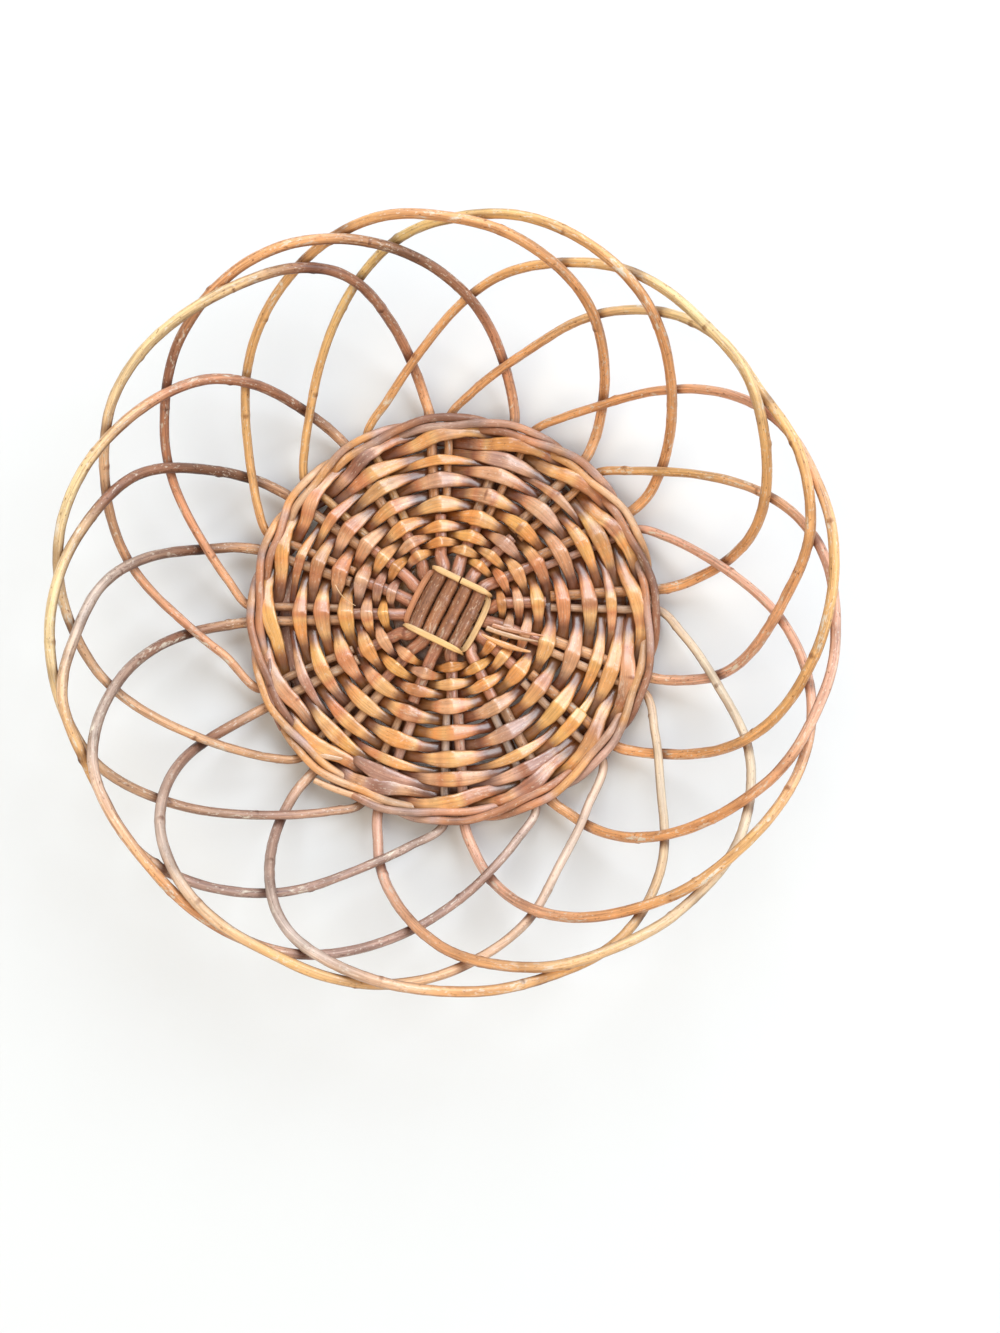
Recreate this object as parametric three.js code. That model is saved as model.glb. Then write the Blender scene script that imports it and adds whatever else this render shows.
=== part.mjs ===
// Openwork willow bowl: a round woven base and a flared side of sixteen
// interlaced arch rods whose overlapping tops make the rim.
// Millimetres, +Z up, standing on the plane z = 0. +X is angle 0 and angles
// run counter-clockwise seen from above.
import * as THREE from 'three';

// ---------------------------------------------------------------- dimensions
const BUTT_RADIUS = 2.45; // thick end of an arch rod
const TIP_RADIUS = 1.9; // thin end of an arch rod
const SPOKE_ROOM = 2.75; // half the height that the weaving leaves for a spoke
const ARCH_SIDES = 6;

const BASE_RADIUS = 91.5; // outer edge of the base, where the arches turn up
const FLOOR_TO_SPOKES = 6.65; // height of the spokes' centre plane at the base edge
const DOME = 3.0; // how far the middle of the base is pushed up
const HUB = [-3.1, 4.3]; // the base cross is woven a little off centre

const STICK_RADIUS_MID = 3.0; // base sticks at the cross
const STICK_RADIUS_END = 2.5; // and at their outer ends
const STICK_SPACING = 6.65; // centre to centre in the cross
const STICK_END = 43.5; // base sticks end here, arch rods are pushed in beyond
const LAYER = 3.2; // half the height between the two layers of the cross
const CROSS_STRAIGHT = 17.6; // the cross stays in two layers out to here
const CROSS_MERGE = 27.0; // and all sticks lie in one plane from here
const CROSS_DIRECTION = 63.5; // angle of the upper four sticks
const CROSS_OFFSET = [0.6, -1.0]; // the cross itself sits beside the middle of its rows
const TIE_SIDE = 14.25; // the ties run round the cross at this distance from its middle

const LAYOUT_RADIUS = 24.3; // here the spokes leave the cross
// radius of a weaver at its inner end and after each turn, working outwards and
// clockwise; the second weaver lies half way between the turns of the first
const ROW_RADII = [23.6, 30.4, 38.3, 48.8, 60.6, 70.4, 76.8];
const WEAVER_A_END = 99; // spoke count, counter-clockwise, where the inner end lies
const WEAVER_B_END = 107;
const WEAVER_A_CUTS = [99, 55, 29, 9]; // counts of the spokes that hide the ends of its lengths
const WEAVER_B_CUTS = [104, 60, 34, 10];
const ROW_GAP = 0.76; // between neighbouring rows of weaving
const WEAVER_WIDTH = 5.0;
const WEAVER_THICK = 1.8;
const CLEAR = 0.32; // air between rods that cross

const PAIR_ROW = 81.0; // radius of the twined row outside the plain weave
const PAIR_WIDTH = 4.4;
const PAIR_NECK = 2.5; // width where the two twined weavers pass each other
const PAIR_THICK = 1.8;
const PAIR_SWAY = 1.4;

const WALE_ROW = 88.4; // radius of the three-rod wale that edges the base
const WALE_RADIUS = 1.75;
const WALE_SWAY = 1.95;
const WALE_SWAY_MID = 2.15;

const TIE_RADIUS = 0.75;
const SPLICE_GAP = 0.8; // between two lengths that meet end to end

// the bowl's box is centred on the axis by this shift of the whole group
const CENTRE_SHIFT = [0.63, -1.51];

// where each pair of rods crosses the edge of the base, in degrees:
// the thick end of one arch and, clockwise of it, the thin end of another
const BUTT_ANGLE = [8.1, 31.2, 50.7, 73.0, 96.8, 121.8, 143.1, 160.2, 180.8, 205.2, 227.6, 248.7, 273.2, 298.4, 321.8, 343.3];
const TIP_ANGLE = [2.2, 25.9, 45.6, 67.2, 91.2, 115.3, 136.8, 155.3, 176.2, 199.8, 222.2, 243.5, 267.2, 293.5, 316.2, 338.4];
const SPOKES = 16;

// centreline of each arch rod as (angle, radius, height) triples, from its thick
// end inside the base, up and over the side, to its thin end five spokes on
const ARCH_ROUTES = [
  [12.53,44.72,8.89, 10.29,60.24,8.32, 8.97,75.82,7.58, 8.03,92.67,6.60, 8.25,102.22,8.04, 9.19,110.99,13.37, 10.34,119.25,19.88, 11.84,126.54,28.49, 13.76,132.54,38.65, 16.21,137.14,48.10, 19.03,140.68,55.50, 22.06,143.68,60.76, 25.11,146.16,65.78, 28.15,148.31,70.41, 31.17,150.19,75.05, 34.24,152.03,78.16, 37.44,153.59,79.29, 40.72,154.39,79.20, 44.05,154.81,78.31, 47.37,155.32,77.45, 50.66,155.99,76.93, 53.96,156.58,76.24, 57.28,156.89,74.83, 60.59,156.59,73.26, 63.90,155.57,71.33, 67.21,154.06,68.31, 70.52,152.20,64.69, 73.87,150.15,60.81, 77.23,147.85,56.57, 80.54,145.00,51.55, 83.71,141.40,45.37, 86.73,136.84,39.67, 89.67,131.43,35.04, 92.64,125.75,30.26, 95.73,119.85,25.83, 99.04,113.86,21.89, 102.66,108.16,17.46, 106.61,102.47,13.80, 115.32,92.25,6.60, 115.47,77.28,7.58, 115.71,63.43,8.32, 116.08,49.58,8.89],
  [35.97,46.12,8.89, 33.60,61.17,8.32, 32.17,76.27,7.58, 31.13,92.62,6.60, 32.32,103.39,9.19, 34.54,111.19,13.91, 36.92,117.99,20.59, 39.41,123.77,28.80, 41.94,128.87,37.39, 44.53,133.61,45.23, 47.20,138.17,51.76, 49.87,142.22,58.39, 52.59,145.80,64.62, 55.42,148.81,70.17, 58.35,151.20,74.93, 61.39,153.29,78.25, 64.50,155.22,80.30, 67.62,156.84,81.93, 70.75,158.19,83.02, 73.91,159.26,83.54, 77.09,160.00,83.36, 80.30,160.29,82.25, 83.52,160.13,80.00, 86.73,159.44,77.73, 89.94,158.34,75.88, 93.16,157.03,73.37, 96.33,155.15,69.84, 99.39,152.54,65.04, 102.35,149.33,59.33, 105.24,145.61,53.24, 108.09,141.13,48.00, 110.94,136.31,42.64, 113.82,131.18,37.33, 116.77,125.76,32.23, 119.82,120.05,27.47, 123.01,114.05,23.36, 126.47,108.13,19.20, 130.27,102.40,15.11, 136.83,92.36,6.60, 136.70,77.37,7.58, 136.55,63.49,8.32, 136.31,49.61,8.89],
  [56.30,47.47,8.89, 53.56,62.06,8.32, 51.86,76.75,7.58, 50.62,92.66,6.60, 52.00,103.54,8.00, 53.80,111.75,12.97, 55.63,119.13,19.99, 57.57,125.53,28.81, 59.67,131.21,37.91, 61.93,136.04,47.38, 64.47,140.36,55.25, 67.31,144.11,61.16, 70.33,147.04,66.30, 73.43,149.47,70.72, 76.54,151.59,74.72, 79.68,153.38,78.17, 82.87,154.67,80.92, 86.11,155.80,82.34, 89.37,157.03,82.72, 92.60,158.19,83.18, 95.83,159.18,83.25, 99.08,159.70,82.33, 102.33,159.64,79.98, 105.56,158.80,77.27, 108.75,157.26,74.52, 111.92,155.39,70.94, 115.07,153.17,66.80, 118.21,150.62,62.19, 121.33,147.72,57.11, 124.40,144.40,51.55, 127.42,140.61,45.59, 130.37,136.39,39.09, 133.26,131.26,33.59, 136.19,125.48,29.05, 139.23,119.50,24.66, 142.51,113.34,20.96, 146.06,107.30,17.23, 149.93,101.42,13.36, 155.32,92.27,6.60, 155.12,77.12,7.58, 154.86,63.09,8.32, 154.46,49.06,8.89],
  [77.60,48.63,8.89, 75.37,62.89,8.32, 73.97,77.20,7.58, 72.92,92.69,6.60, 74.74,101.80,7.97, 76.89,109.71,12.53, 78.97,116.90,18.83, 81.01,123.24,26.97, 83.22,128.91,35.38, 85.66,133.70,44.01, 88.32,138.21,50.93, 91.10,142.15,57.42, 93.97,145.55,63.43, 96.93,148.46,68.86, 99.95,150.93,73.68, 103.00,152.96,78.09, 106.10,154.95,81.09, 109.23,156.88,82.84, 112.38,158.38,84.00, 115.56,159.43,84.25, 118.74,160.07,83.63, 121.92,160.33,82.07, 125.08,159.99,80.18, 128.23,159.09,78.10, 131.37,157.80,75.60, 134.47,156.17,72.39, 137.52,154.06,68.37, 140.48,151.44,63.52, 143.40,148.38,58.20, 146.33,145.05,52.75, 149.29,141.45,47.20, 152.20,137.47,41.09, 155.02,132.47,35.92, 157.81,126.77,31.34, 160.64,120.76,26.83, 163.63,114.45,22.98, 166.83,108.24,18.67, 170.31,102.06,14.45, 176.23,92.31,6.60, 175.86,76.83,7.58, 175.38,62.51,8.32, 174.61,48.19,8.89],
  [99.67,49.42,8.89, 98.29,63.39,8.32, 97.41,77.38,7.58, 96.74,92.51,6.60, 97.66,102.20,7.19, 98.56,110.98,12.22, 99.56,118.91,19.51, 100.72,125.85,28.92, 102.06,132.18,38.92, 103.60,137.77,49.51, 105.56,142.82,58.98, 108.13,147.03,66.20, 111.16,149.95,71.76, 114.40,151.98,75.83, 117.72,153.35,78.70, 121.07,154.28,80.80, 124.42,155.10,82.46, 127.75,156.12,83.50, 131.05,157.20,84.07, 134.33,158.14,84.43, 137.61,158.90,84.39, 140.87,159.40,83.78, 144.12,159.56,82.45, 147.34,159.28,80.22, 150.49,158.46,76.69, 153.56,156.80,72.61, 156.62,154.55,68.46, 159.67,152.11,63.90, 162.74,149.42,59.04, 165.76,146.32,53.71, 168.72,142.78,47.70, 171.61,138.43,41.95, 174.41,133.01,37.17, 177.10,127.10,31.90, 179.87,120.86,26.91, 182.94,114.46,22.78, 186.28,108.27,18.26, 189.96,102.09,14.15, 199.85,92.46,6.60, 199.27,76.52,7.58, 198.48,61.77,8.32, 197.21,47.04,8.89],
  [121.86,49.66,8.89, 121.83,63.51,8.32, 121.81,77.37,7.58, 121.77,92.34,6.60, 122.98,101.33,8.35, 124.62,109.46,13.02, 126.30,116.79,19.76, 128.06,123.25,28.38, 130.06,128.97,37.69, 132.37,134.21,46.05, 135.01,138.96,52.86, 137.99,142.70,58.91, 141.17,145.61,63.88, 144.41,148.00,68.04, 147.66,150.10,71.78, 150.91,151.92,75.26, 154.13,153.70,77.71, 157.32,155.46,79.12, 160.49,156.91,80.09, 163.66,158.02,80.36, 166.81,158.78,79.87, 169.93,159.19,78.49, 173.04,158.99,76.84, 176.13,158.17,75.05, 179.18,156.84,72.74, 182.19,155.11,69.64, 185.16,153.05,65.98, 188.11,150.66,61.86, 191.00,147.86,56.95, 193.79,144.23,51.97, 196.52,139.71,47.52, 199.20,134.83,42.53, 201.93,129.65,37.59, 204.78,124.22,33.01, 207.75,118.75,28.01, 210.85,113.30,22.33, 214.21,107.60,17.63, 217.81,101.66,13.78, 222.25,92.48,6.60, 221.64,76.05,7.58, 220.81,60.84,8.32, 219.43,45.65,8.89],
  [142.10,49.46,8.89, 142.57,63.34,8.32, 142.88,77.22,7.58, 143.08,92.21,6.60, 144.31,104.96,8.76, 145.84,112.73,14.75, 147.69,119.54,22.84, 149.68,125.76,31.61, 151.72,131.36,41.34, 153.89,136.72,50.15, 156.43,141.56,57.29, 159.45,145.12,63.10, 162.67,147.78,67.61, 165.91,150.06,71.60, 169.12,152.18,75.41, 172.31,154.00,78.95, 175.48,155.72,81.08, 178.61,157.28,82.03, 181.72,158.53,82.43, 184.81,159.47,82.17, 187.87,160.14,81.21, 190.91,160.45,80.01, 193.97,160.29,78.98, 197.02,159.71,77.89, 200.03,158.87,75.97, 203.00,157.48,73.46, 205.83,155.39,69.52, 208.47,152.46,64.12, 210.99,148.97,57.83, 213.51,145.03,51.47, 216.13,140.45,46.57, 218.77,135.52,41.53, 221.43,130.26,36.45, 224.20,124.74,31.58, 227.16,119.08,27.30, 230.36,113.43,23.07, 233.74,107.85,18.24, 237.41,102.08,14.44, 243.54,92.41,6.60, 243.11,75.52,7.58, 242.52,59.89,8.32, 241.51,44.26,8.89],
  [160.30,48.99,8.89, 160.25,63.02,8.32, 160.22,77.05,7.58, 160.18,92.21,6.60, 161.72,103.32,8.58, 163.78,111.48,13.54, 165.70,119.01,20.77, 167.60,125.76,30.30, 169.73,131.77,40.66, 172.20,137.26,49.98, 174.97,142.22,57.47, 178.12,145.97,63.99, 181.47,148.76,69.11, 184.81,151.18,73.74, 188.08,153.60,78.69, 191.30,155.90,82.73, 194.52,157.51,84.32, 197.69,158.14,83.12, 200.81,158.22,80.71, 203.95,158.20,78.57, 207.18,158.08,78.11, 210.42,158.28,78.08, 213.67,158.72,78.51, 216.89,158.99,78.59, 220.04,158.53,77.37, 223.07,157.07,74.53, 226.00,154.93,70.43, 228.88,152.30,65.53, 231.73,149.24,60.03, 234.56,145.74,54.08, 237.38,141.85,47.48, 240.25,137.21,42.13, 243.09,131.87,36.99, 245.91,126.06,31.67, 248.90,120.02,26.82, 252.24,114.02,23.05, 255.87,108.20,18.99, 259.81,102.43,14.87, 267.23,92.42,6.60, 267.01,75.14,7.58, 266.73,59.14,8.32, 266.23,43.14,8.89],
  [180.56,48.02,8.89, 180.68,62.36,8.32, 180.75,76.69,7.58, 180.79,92.18,6.60, 181.75,104.00,8.67, 182.90,113.04,14.35, 184.49,121.21,22.43, 186.57,128.32,32.69, 189.08,134.59,43.27, 191.98,139.82,54.08, 195.08,144.45,63.40, 198.27,148.59,71.23, 201.59,151.88,78.59, 204.98,154.45,83.31, 208.36,156.17,84.82, 211.73,157.04,85.00, 215.06,157.48,84.29, 218.37,157.79,83.19, 221.67,158.13,81.91, 224.95,158.70,80.38, 228.25,159.14,79.52, 231.57,159.17,79.10, 234.87,158.75,78.35, 238.15,158.04,76.91, 241.42,157.09,75.00, 244.67,155.79,72.43, 247.86,153.92,68.81, 250.98,151.33,63.97, 254.05,148.14,58.26, 257.14,144.50,52.10, 260.28,140.49,45.67, 263.50,136.06,39.39, 266.85,131.05,34.99, 270.30,125.74,30.73, 273.91,120.17,26.69, 277.70,114.38,23.33, 281.69,108.52,19.16, 285.95,102.54,14.97, 293.52,92.33,6.60, 293.34,74.87,7.58, 293.09,58.70,8.32, 292.65,42.53,8.89],
  [203.31,46.64,8.89, 204.24,61.40,8.32, 204.81,76.16,7.58, 205.20,92.11,6.60, 205.65,103.06,9.00, 206.26,112.03,14.72, 207.05,120.57,21.79, 208.33,128.33,31.32, 210.34,135.03,42.72, 213.02,140.57,54.06, 216.04,145.28,62.97, 219.29,148.94,70.10, 222.68,151.52,75.64, 226.10,153.29,80.07, 229.45,154.67,82.68, 232.73,155.75,83.47, 235.96,156.35,83.09, 239.16,156.50,81.83, 242.35,156.52,80.28, 245.55,156.74,79.12, 248.77,157.13,78.29, 251.97,157.42,77.16, 255.15,157.34,75.56, 258.34,156.78,73.82, 261.52,155.75,71.81, 264.68,154.28,68.86, 267.82,152.37,65.12, 270.96,150.01,60.60, 274.11,147.23,55.46, 277.30,144.08,49.90, 280.54,140.56,44.04, 283.76,136.40,37.22, 286.88,131.10,31.56, 289.96,124.97,27.17, 293.27,118.83,23.07, 297.07,113.22,20.12, 301.25,107.96,18.26, 305.61,102.53,15.51, 316.21,92.24,6.60, 316.43,74.78,7.58, 316.79,58.62,8.32, 317.41,42.46,8.89],
  [225.71,45.25,8.89, 226.65,60.47,8.32, 227.22,75.69,7.58, 227.60,92.14,6.60, 227.85,102.95,8.77, 229.06,111.93,14.25, 230.86,120.16,22.36, 233.14,127.48,32.90, 235.79,133.92,44.17, 238.67,139.59,54.25, 241.74,144.44,62.13, 245.07,147.89,68.49, 248.50,149.99,72.59, 251.91,151.34,75.43, 255.28,152.44,77.61, 258.59,153.48,78.84, 261.86,154.35,79.11, 265.10,155.00,79.01, 268.33,155.53,78.67, 271.55,156.04,78.30, 274.75,156.51,77.84, 277.95,156.78,76.98, 281.14,156.72,75.49, 284.33,156.46,73.42, 287.55,156.11,72.12, 290.79,155.75,71.53, 294.04,155.09,70.23, 297.26,153.67,67.51, 300.44,151.35,63.20, 303.59,148.23,57.91, 306.73,144.42,51.86, 309.82,139.84,45.09, 312.82,134.38,37.49, 315.69,128.00,31.17, 318.68,121.31,25.62, 322.09,114.91,21.22, 325.95,108.89,18.29, 330.08,102.86,14.68, 338.39,92.11,6.60, 338.94,74.84,7.58, 339.76,58.87,8.32, 341.18,42.92,8.89],
  [248.00,44.03,8.89, 248.35,59.68,8.32, 248.56,75.33,7.58, 248.69,92.23,6.60, 251.56,104.72,10.16, 253.71,112.92,15.52, 256.41,120.14,23.05, 259.53,126.23,32.13, 262.76,131.52,41.70, 265.95,136.33,49.64, 269.16,140.53,55.89, 272.43,143.82,61.31, 275.73,146.33,65.65, 278.99,148.41,69.40, 282.20,150.30,73.02, 285.37,151.93,75.93, 288.52,153.10,77.06, 291.66,153.83,77.00, 294.80,154.38,76.63, 297.92,155.01,76.39, 301.03,155.64,76.11, 304.14,156.03,75.34, 307.26,156.08,73.84, 310.40,155.92,72.03, 313.54,155.63,70.89, 316.70,155.07,69.93, 319.86,153.94,67.79, 323.03,152.01,64.20, 326.19,149.39,59.53, 329.38,146.28,54.24, 332.59,142.66,48.21, 335.73,138.17,42.19, 338.65,132.54,37.34, 341.55,126.40,32.06, 344.62,120.15,27.64, 348.05,114.13,22.85, 351.79,108.20,17.59, 355.66,102.01,13.53, 362.19,92.03,6.60, 362.98,75.16,7.58, 364.15,59.57,8.32, 366.14,44.01,8.89],
  [272.88,43.03,8.89, 273.04,59.04,8.32, 273.14,75.04,7.58, 273.18,92.32,6.60, 274.81,101.93,7.88, 276.77,110.58,12.92, 279.18,118.44,20.35, 282.07,125.10,30.02, 285.24,130.65,39.00, 288.54,135.26,45.41, 291.91,138.90,51.33, 295.30,141.83,56.44, 298.67,144.24,60.92, 301.99,146.35,65.00, 305.24,148.36,68.81, 308.44,150.20,72.63, 311.62,151.76,75.09, 314.81,152.98,76.03, 318.00,153.99,76.59, 321.16,155.01,77.13, 324.30,156.06,77.67, 327.43,156.97,77.88, 330.57,157.61,77.51, 333.74,157.91,76.24, 336.93,157.67,74.50, 340.13,156.79,72.52, 343.34,155.27,69.79, 346.57,153.10,65.81, 349.81,150.32,60.86, 353.06,146.95,55.15, 356.32,143.03,48.55, 359.50,138.34,42.83, 362.59,132.87,38.14, 365.71,127.02,33.13, 368.93,120.91,28.77, 372.40,114.87,23.64, 376.11,108.78,18.26, 379.92,102.36,14.01, 385.89,91.99,6.60, 386.69,75.61,7.58, 387.85,60.47,8.32, 389.78,45.37,8.89],
  [299.39,42.54,8.89, 298.88,58.71,8.32, 298.59,74.88,7.58, 298.38,92.34,6.60, 300.62,101.11,8.32, 302.76,109.19,13.15, 305.23,116.44,20.59, 308.06,122.63,28.54, 311.07,127.82,36.83, 314.16,132.28,43.71, 317.29,136.21,48.89, 320.39,139.67,54.02, 323.43,142.83,58.98, 326.43,145.70,63.77, 329.37,148.33,68.39, 332.29,150.64,72.60, 335.24,152.43,76.14, 338.24,153.77,77.96, 341.28,154.95,78.37, 344.30,156.10,78.90, 347.30,157.20,79.29, 350.33,157.97,78.99, 353.41,158.25,77.46, 356.50,158.08,76.02, 359.58,157.69,75.08, 362.68,157.12,74.07, 365.81,156.12,72.13, 368.95,154.36,68.79, 372.08,151.89,64.22, 375.17,148.68,58.57, 378.20,144.81,51.75, 381.10,140.09,45.73, 383.91,134.71,40.23, 386.70,128.95,34.59, 389.52,122.85,29.23, 392.41,116.47,24.43, 395.47,109.96,20.01, 398.83,103.54,15.28, 405.58,91.90,6.60, 406.58,75.95,7.58, 408.00,61.22,8.32, 410.31,46.55,8.89],
  [324.13,42.75,8.89, 322.93,58.88,8.32, 322.25,75.03,7.58, 321.76,92.48,6.60, 324.20,102.07,8.11, 326.54,109.98,12.60, 328.73,117.47,19.79, 330.86,124.39,29.06, 333.14,130.47,39.18, 335.68,135.65,47.88, 338.46,140.06,54.14, 341.36,143.54,59.94, 344.36,146.26,64.79, 347.37,148.49,69.00, 350.37,150.44,72.87, 353.35,152.12,76.53, 356.35,153.65,79.06, 359.39,155.06,80.42, 362.45,156.33,81.06, 365.51,157.41,81.35, 368.59,158.25,81.09, 371.72,158.72,80.06, 374.89,158.84,78.00, 378.05,158.57,76.28, 381.20,158.11,75.13, 384.37,157.41,73.79, 387.57,156.19,71.39, 390.75,154.13,67.92, 393.89,151.37,63.11, 396.97,147.91,57.24, 399.96,143.83,50.63, 402.90,139.26,43.37, 405.74,133.94,37.22, 408.51,127.99,32.23, 411.30,121.73,27.23, 414.17,115.16,22.91, 417.35,108.74,18.43, 420.98,102.59,14.22, 427.18,91.88,6.60, 428.17,76.38,7.58, 429.54,62.06,8.32, 431.74,47.79,8.89],
  [347.77,43.51,8.89, 345.49,59.39,8.32, 344.17,75.32,7.58, 343.24,92.55,6.60, 344.19,102.45,8.08, 345.47,111.23,13.54, 347.11,119.34,20.30, 349.57,125.70,28.78, 352.55,130.48,36.75, 355.64,134.29,44.59, 358.74,137.82,51.15, 361.78,141.40,56.45, 364.64,144.97,62.48, 367.44,148.26,68.37, 370.37,150.82,73.16, 373.44,152.55,76.48, 376.57,153.70,78.85, 379.78,154.77,79.73, 383.04,155.58,79.34, 386.36,155.77,77.74, 389.75,155.60,74.77, 393.12,155.42,72.72, 396.40,155.60,73.08, 399.65,156.14,73.75, 402.93,156.30,73.69, 406.26,155.67,72.25, 409.59,154.30,69.42, 412.91,152.25,65.41, 416.19,149.56,60.39, 419.42,146.31,54.68, 422.61,142.58,48.16, 425.64,137.87,42.38, 428.50,132.29,37.06, 431.32,126.28,31.60, 434.32,120.14,26.71, 437.64,114.00,22.79, 441.22,107.96,18.76, 444.96,101.80,14.53, 451.20,92.01,6.60, 451.78,76.88,7.58, 452.59,62.88,8.32, 453.87,48.90,8.89],
];

// ------------------------------------------------------------------- helpers
const rad = (deg) => (deg * Math.PI) / 180;
const unit = (deg) => new THREE.Vector2(Math.cos(rad(deg)), Math.sin(rad(deg)));
const V3 = (x, y, z) => new THREE.Vector3(x, y, z);

// A closed rod: a cylinder whose rings are laid along a chain of points. Each
// ring is mitred to the bend there, so a flat strip keeps its thickness.
// widths and thicks are half sizes for each ring; sideways gives the direction
// of the width, or is null for a round rod, whose frame is carried along.
function bentRod(points, widths, thicks, sides, sideways, thetaStart) {
  const steps = points.length - 1;
  const geometry = new THREE.CylinderGeometry(1, 1, 1, sides, steps, false, thetaStart);
  const dirs = [];
  for (let k = 0; k < steps; k++) dirs.push(points[k + 1].clone().sub(points[k]).normalize());
  const rings = [];
  let carried = null;
  for (let k = 0; k <= steps; k++) {
    const before = dirs[Math.max(0, k - 1)];
    const after = dirs[Math.min(steps - 1, k)];
    const t = before.clone().add(after).normalize();
    let s;
    if (sideways) s = sideways[k].clone();
    else if (carried) s = carried.clone();
    else s = V3(-t.y, t.x, 0);
    s.addScaledVector(t, -s.dot(t)).normalize();
    carried = s;
    const n = t.clone().cross(s).normalize();
    const bend = after.clone().sub(before);
    const half = 0.5 * before.angleTo(after);
    const hasBend = bend.length() > 1e-6;
    if (hasBend) bend.addScaledVector(t, -bend.dot(t)).normalize();
    rings.push({ s, n, bend: hasBend ? bend : null, stretch: 1 / Math.cos(half) - 1 });
  }
  const position = geometry.getAttribute('position');
  const v = V3(0, 0, 0);
  for (let i = 0; i < position.count; i++) {
    v.fromBufferAttribute(position, i);
    const k = Math.round((0.5 - v.y) * steps);
    const ring = rings[k];
    const off = V3(0, 0, 0).addScaledVector(ring.s, v.x * widths[k]).addScaledVector(ring.n, v.z * thicks[k]);
    if (ring.bend) off.addScaledVector(ring.bend, off.dot(ring.bend) * ring.stretch);
    off.add(points[k]);
    position.setXYZ(i, off.x, off.y, off.z);
  }
  geometry.deleteAttribute('uv');
  geometry.computeVertexNormals();
  return geometry;
}

const ROUND_FLAT = (sides) => Math.PI / sides; // turns a section so that a flat faces down

// --------------------------------------------------------- the base's layout
const hub = new THREE.Vector2(HUB[0], HUB[1]);
const crossMiddle = new THREE.Vector2(HUB[0] + CROSS_OFFSET[0], HUB[1] + CROSS_OFFSET[1]);
const innerAngle = (p) => 5.75 + 22.5 * p;
const edgeAngle = (p) => (BUTT_ANGLE[p] + TIP_ANGLE[p]) / 2;
const outward = (r) => (r - LAYOUT_RADIUS) / (BASE_RADIUS - LAYOUT_RADIUS);

// centre of spoke p at radius r
function spokePoint(p, r) {
  const f = outward(r);
  return hub.clone().multiplyScalar(1 - f)
    .addScaledVector(unit(innerAngle(p)), LAYOUT_RADIUS * (1 - f))
    .addScaledVector(unit(edgeAngle(p)), BASE_RADIUS * f);
}
const rowCentre = (r) => hub.clone().multiplyScalar(1 - outward(r));
function spokeAngle(p, r) {
  const d = spokePoint(p, r).sub(rowCentre(r));
  return Math.atan2(d.y, d.x);
}
// half the distance between the two rods of a pair
function halfPair(p, r) {
  if (r < STICK_END - 0.8) return 0;
  const edge = (rad(BUTT_ANGLE[p] - TIP_ANGLE[p]) / 2) * BASE_RADIUS;
  return 2.5 + (edge - 2.5) * Math.min(1, Math.max(0, (r - 46) / (BASE_RADIUS - 46)));
}
const upperLayer = (p) => [1, 2, 3, 4, 9, 10, 11, 12].includes(p);
const baseHeight = (r) => FLOOR_TO_SPOKES + DOME * (1 - (r / BASE_RADIUS) ** 2);
function spokeHeight(p, r) {
  const f = Math.min(1, Math.max(0, (CROSS_MERGE - r) / (CROSS_MERGE - CROSS_STRAIGHT)));
  return baseHeight(r) + (upperLayer(p) ? 1 : -1) * LAYER * f;
}
const spokeRadius = (r) => (r < STICK_END - 0.8 ? 2.92 : SPOKE_ROOM);

// the point beside spoke p, x millimetres counter-clockwise of it
function beside(p, r, x, sway, z) {
  const c = rowCentre(r);
  const R = spokePoint(p, r).sub(c).length();
  const a = spokeAngle(p, r) + x / R;
  const e = new THREE.Vector2(Math.cos(a), Math.sin(a));
  c.addScaledVector(e, R + sway);
  return { point: V3(c.x, c.y, z), out: V3(e.x, e.y, 0) };
}
// distance round the row from spoke p to the next one
function stride(p, r1, r2) {
  const q = (p + 1) % SPOKES;
  const r = (r1 + r2) / 2;
  let d = spokeAngle(q, r) - spokeAngle(p, r);
  while (d < 0) d += 2 * Math.PI;
  const R = (spokePoint(p, r).sub(rowCentre(r)).length() + spokePoint(q, r).sub(rowCentre(r)).length()) / 2;
  return d * R;
}
// slope of a strand from over (side 1) or under (side -1) one spoke to the
// other side of the next, touching both at a distance of reach
function crossingSlope(p, r1, r2, reach1, reach2, side) {
  const q = (p + 1) % SPOKES;
  const dx = stride(p, r1, r2) - halfPair(p, r1) - halfPair(q, r2);
  const dz = spokeHeight(q, r2) - spokeHeight(p, r1);
  const length = Math.hypot(dx, dz);
  return Math.atan2(dz, dx) - side * Math.asin(Math.min(0.96, (reach1 + reach2) / length));
}

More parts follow.
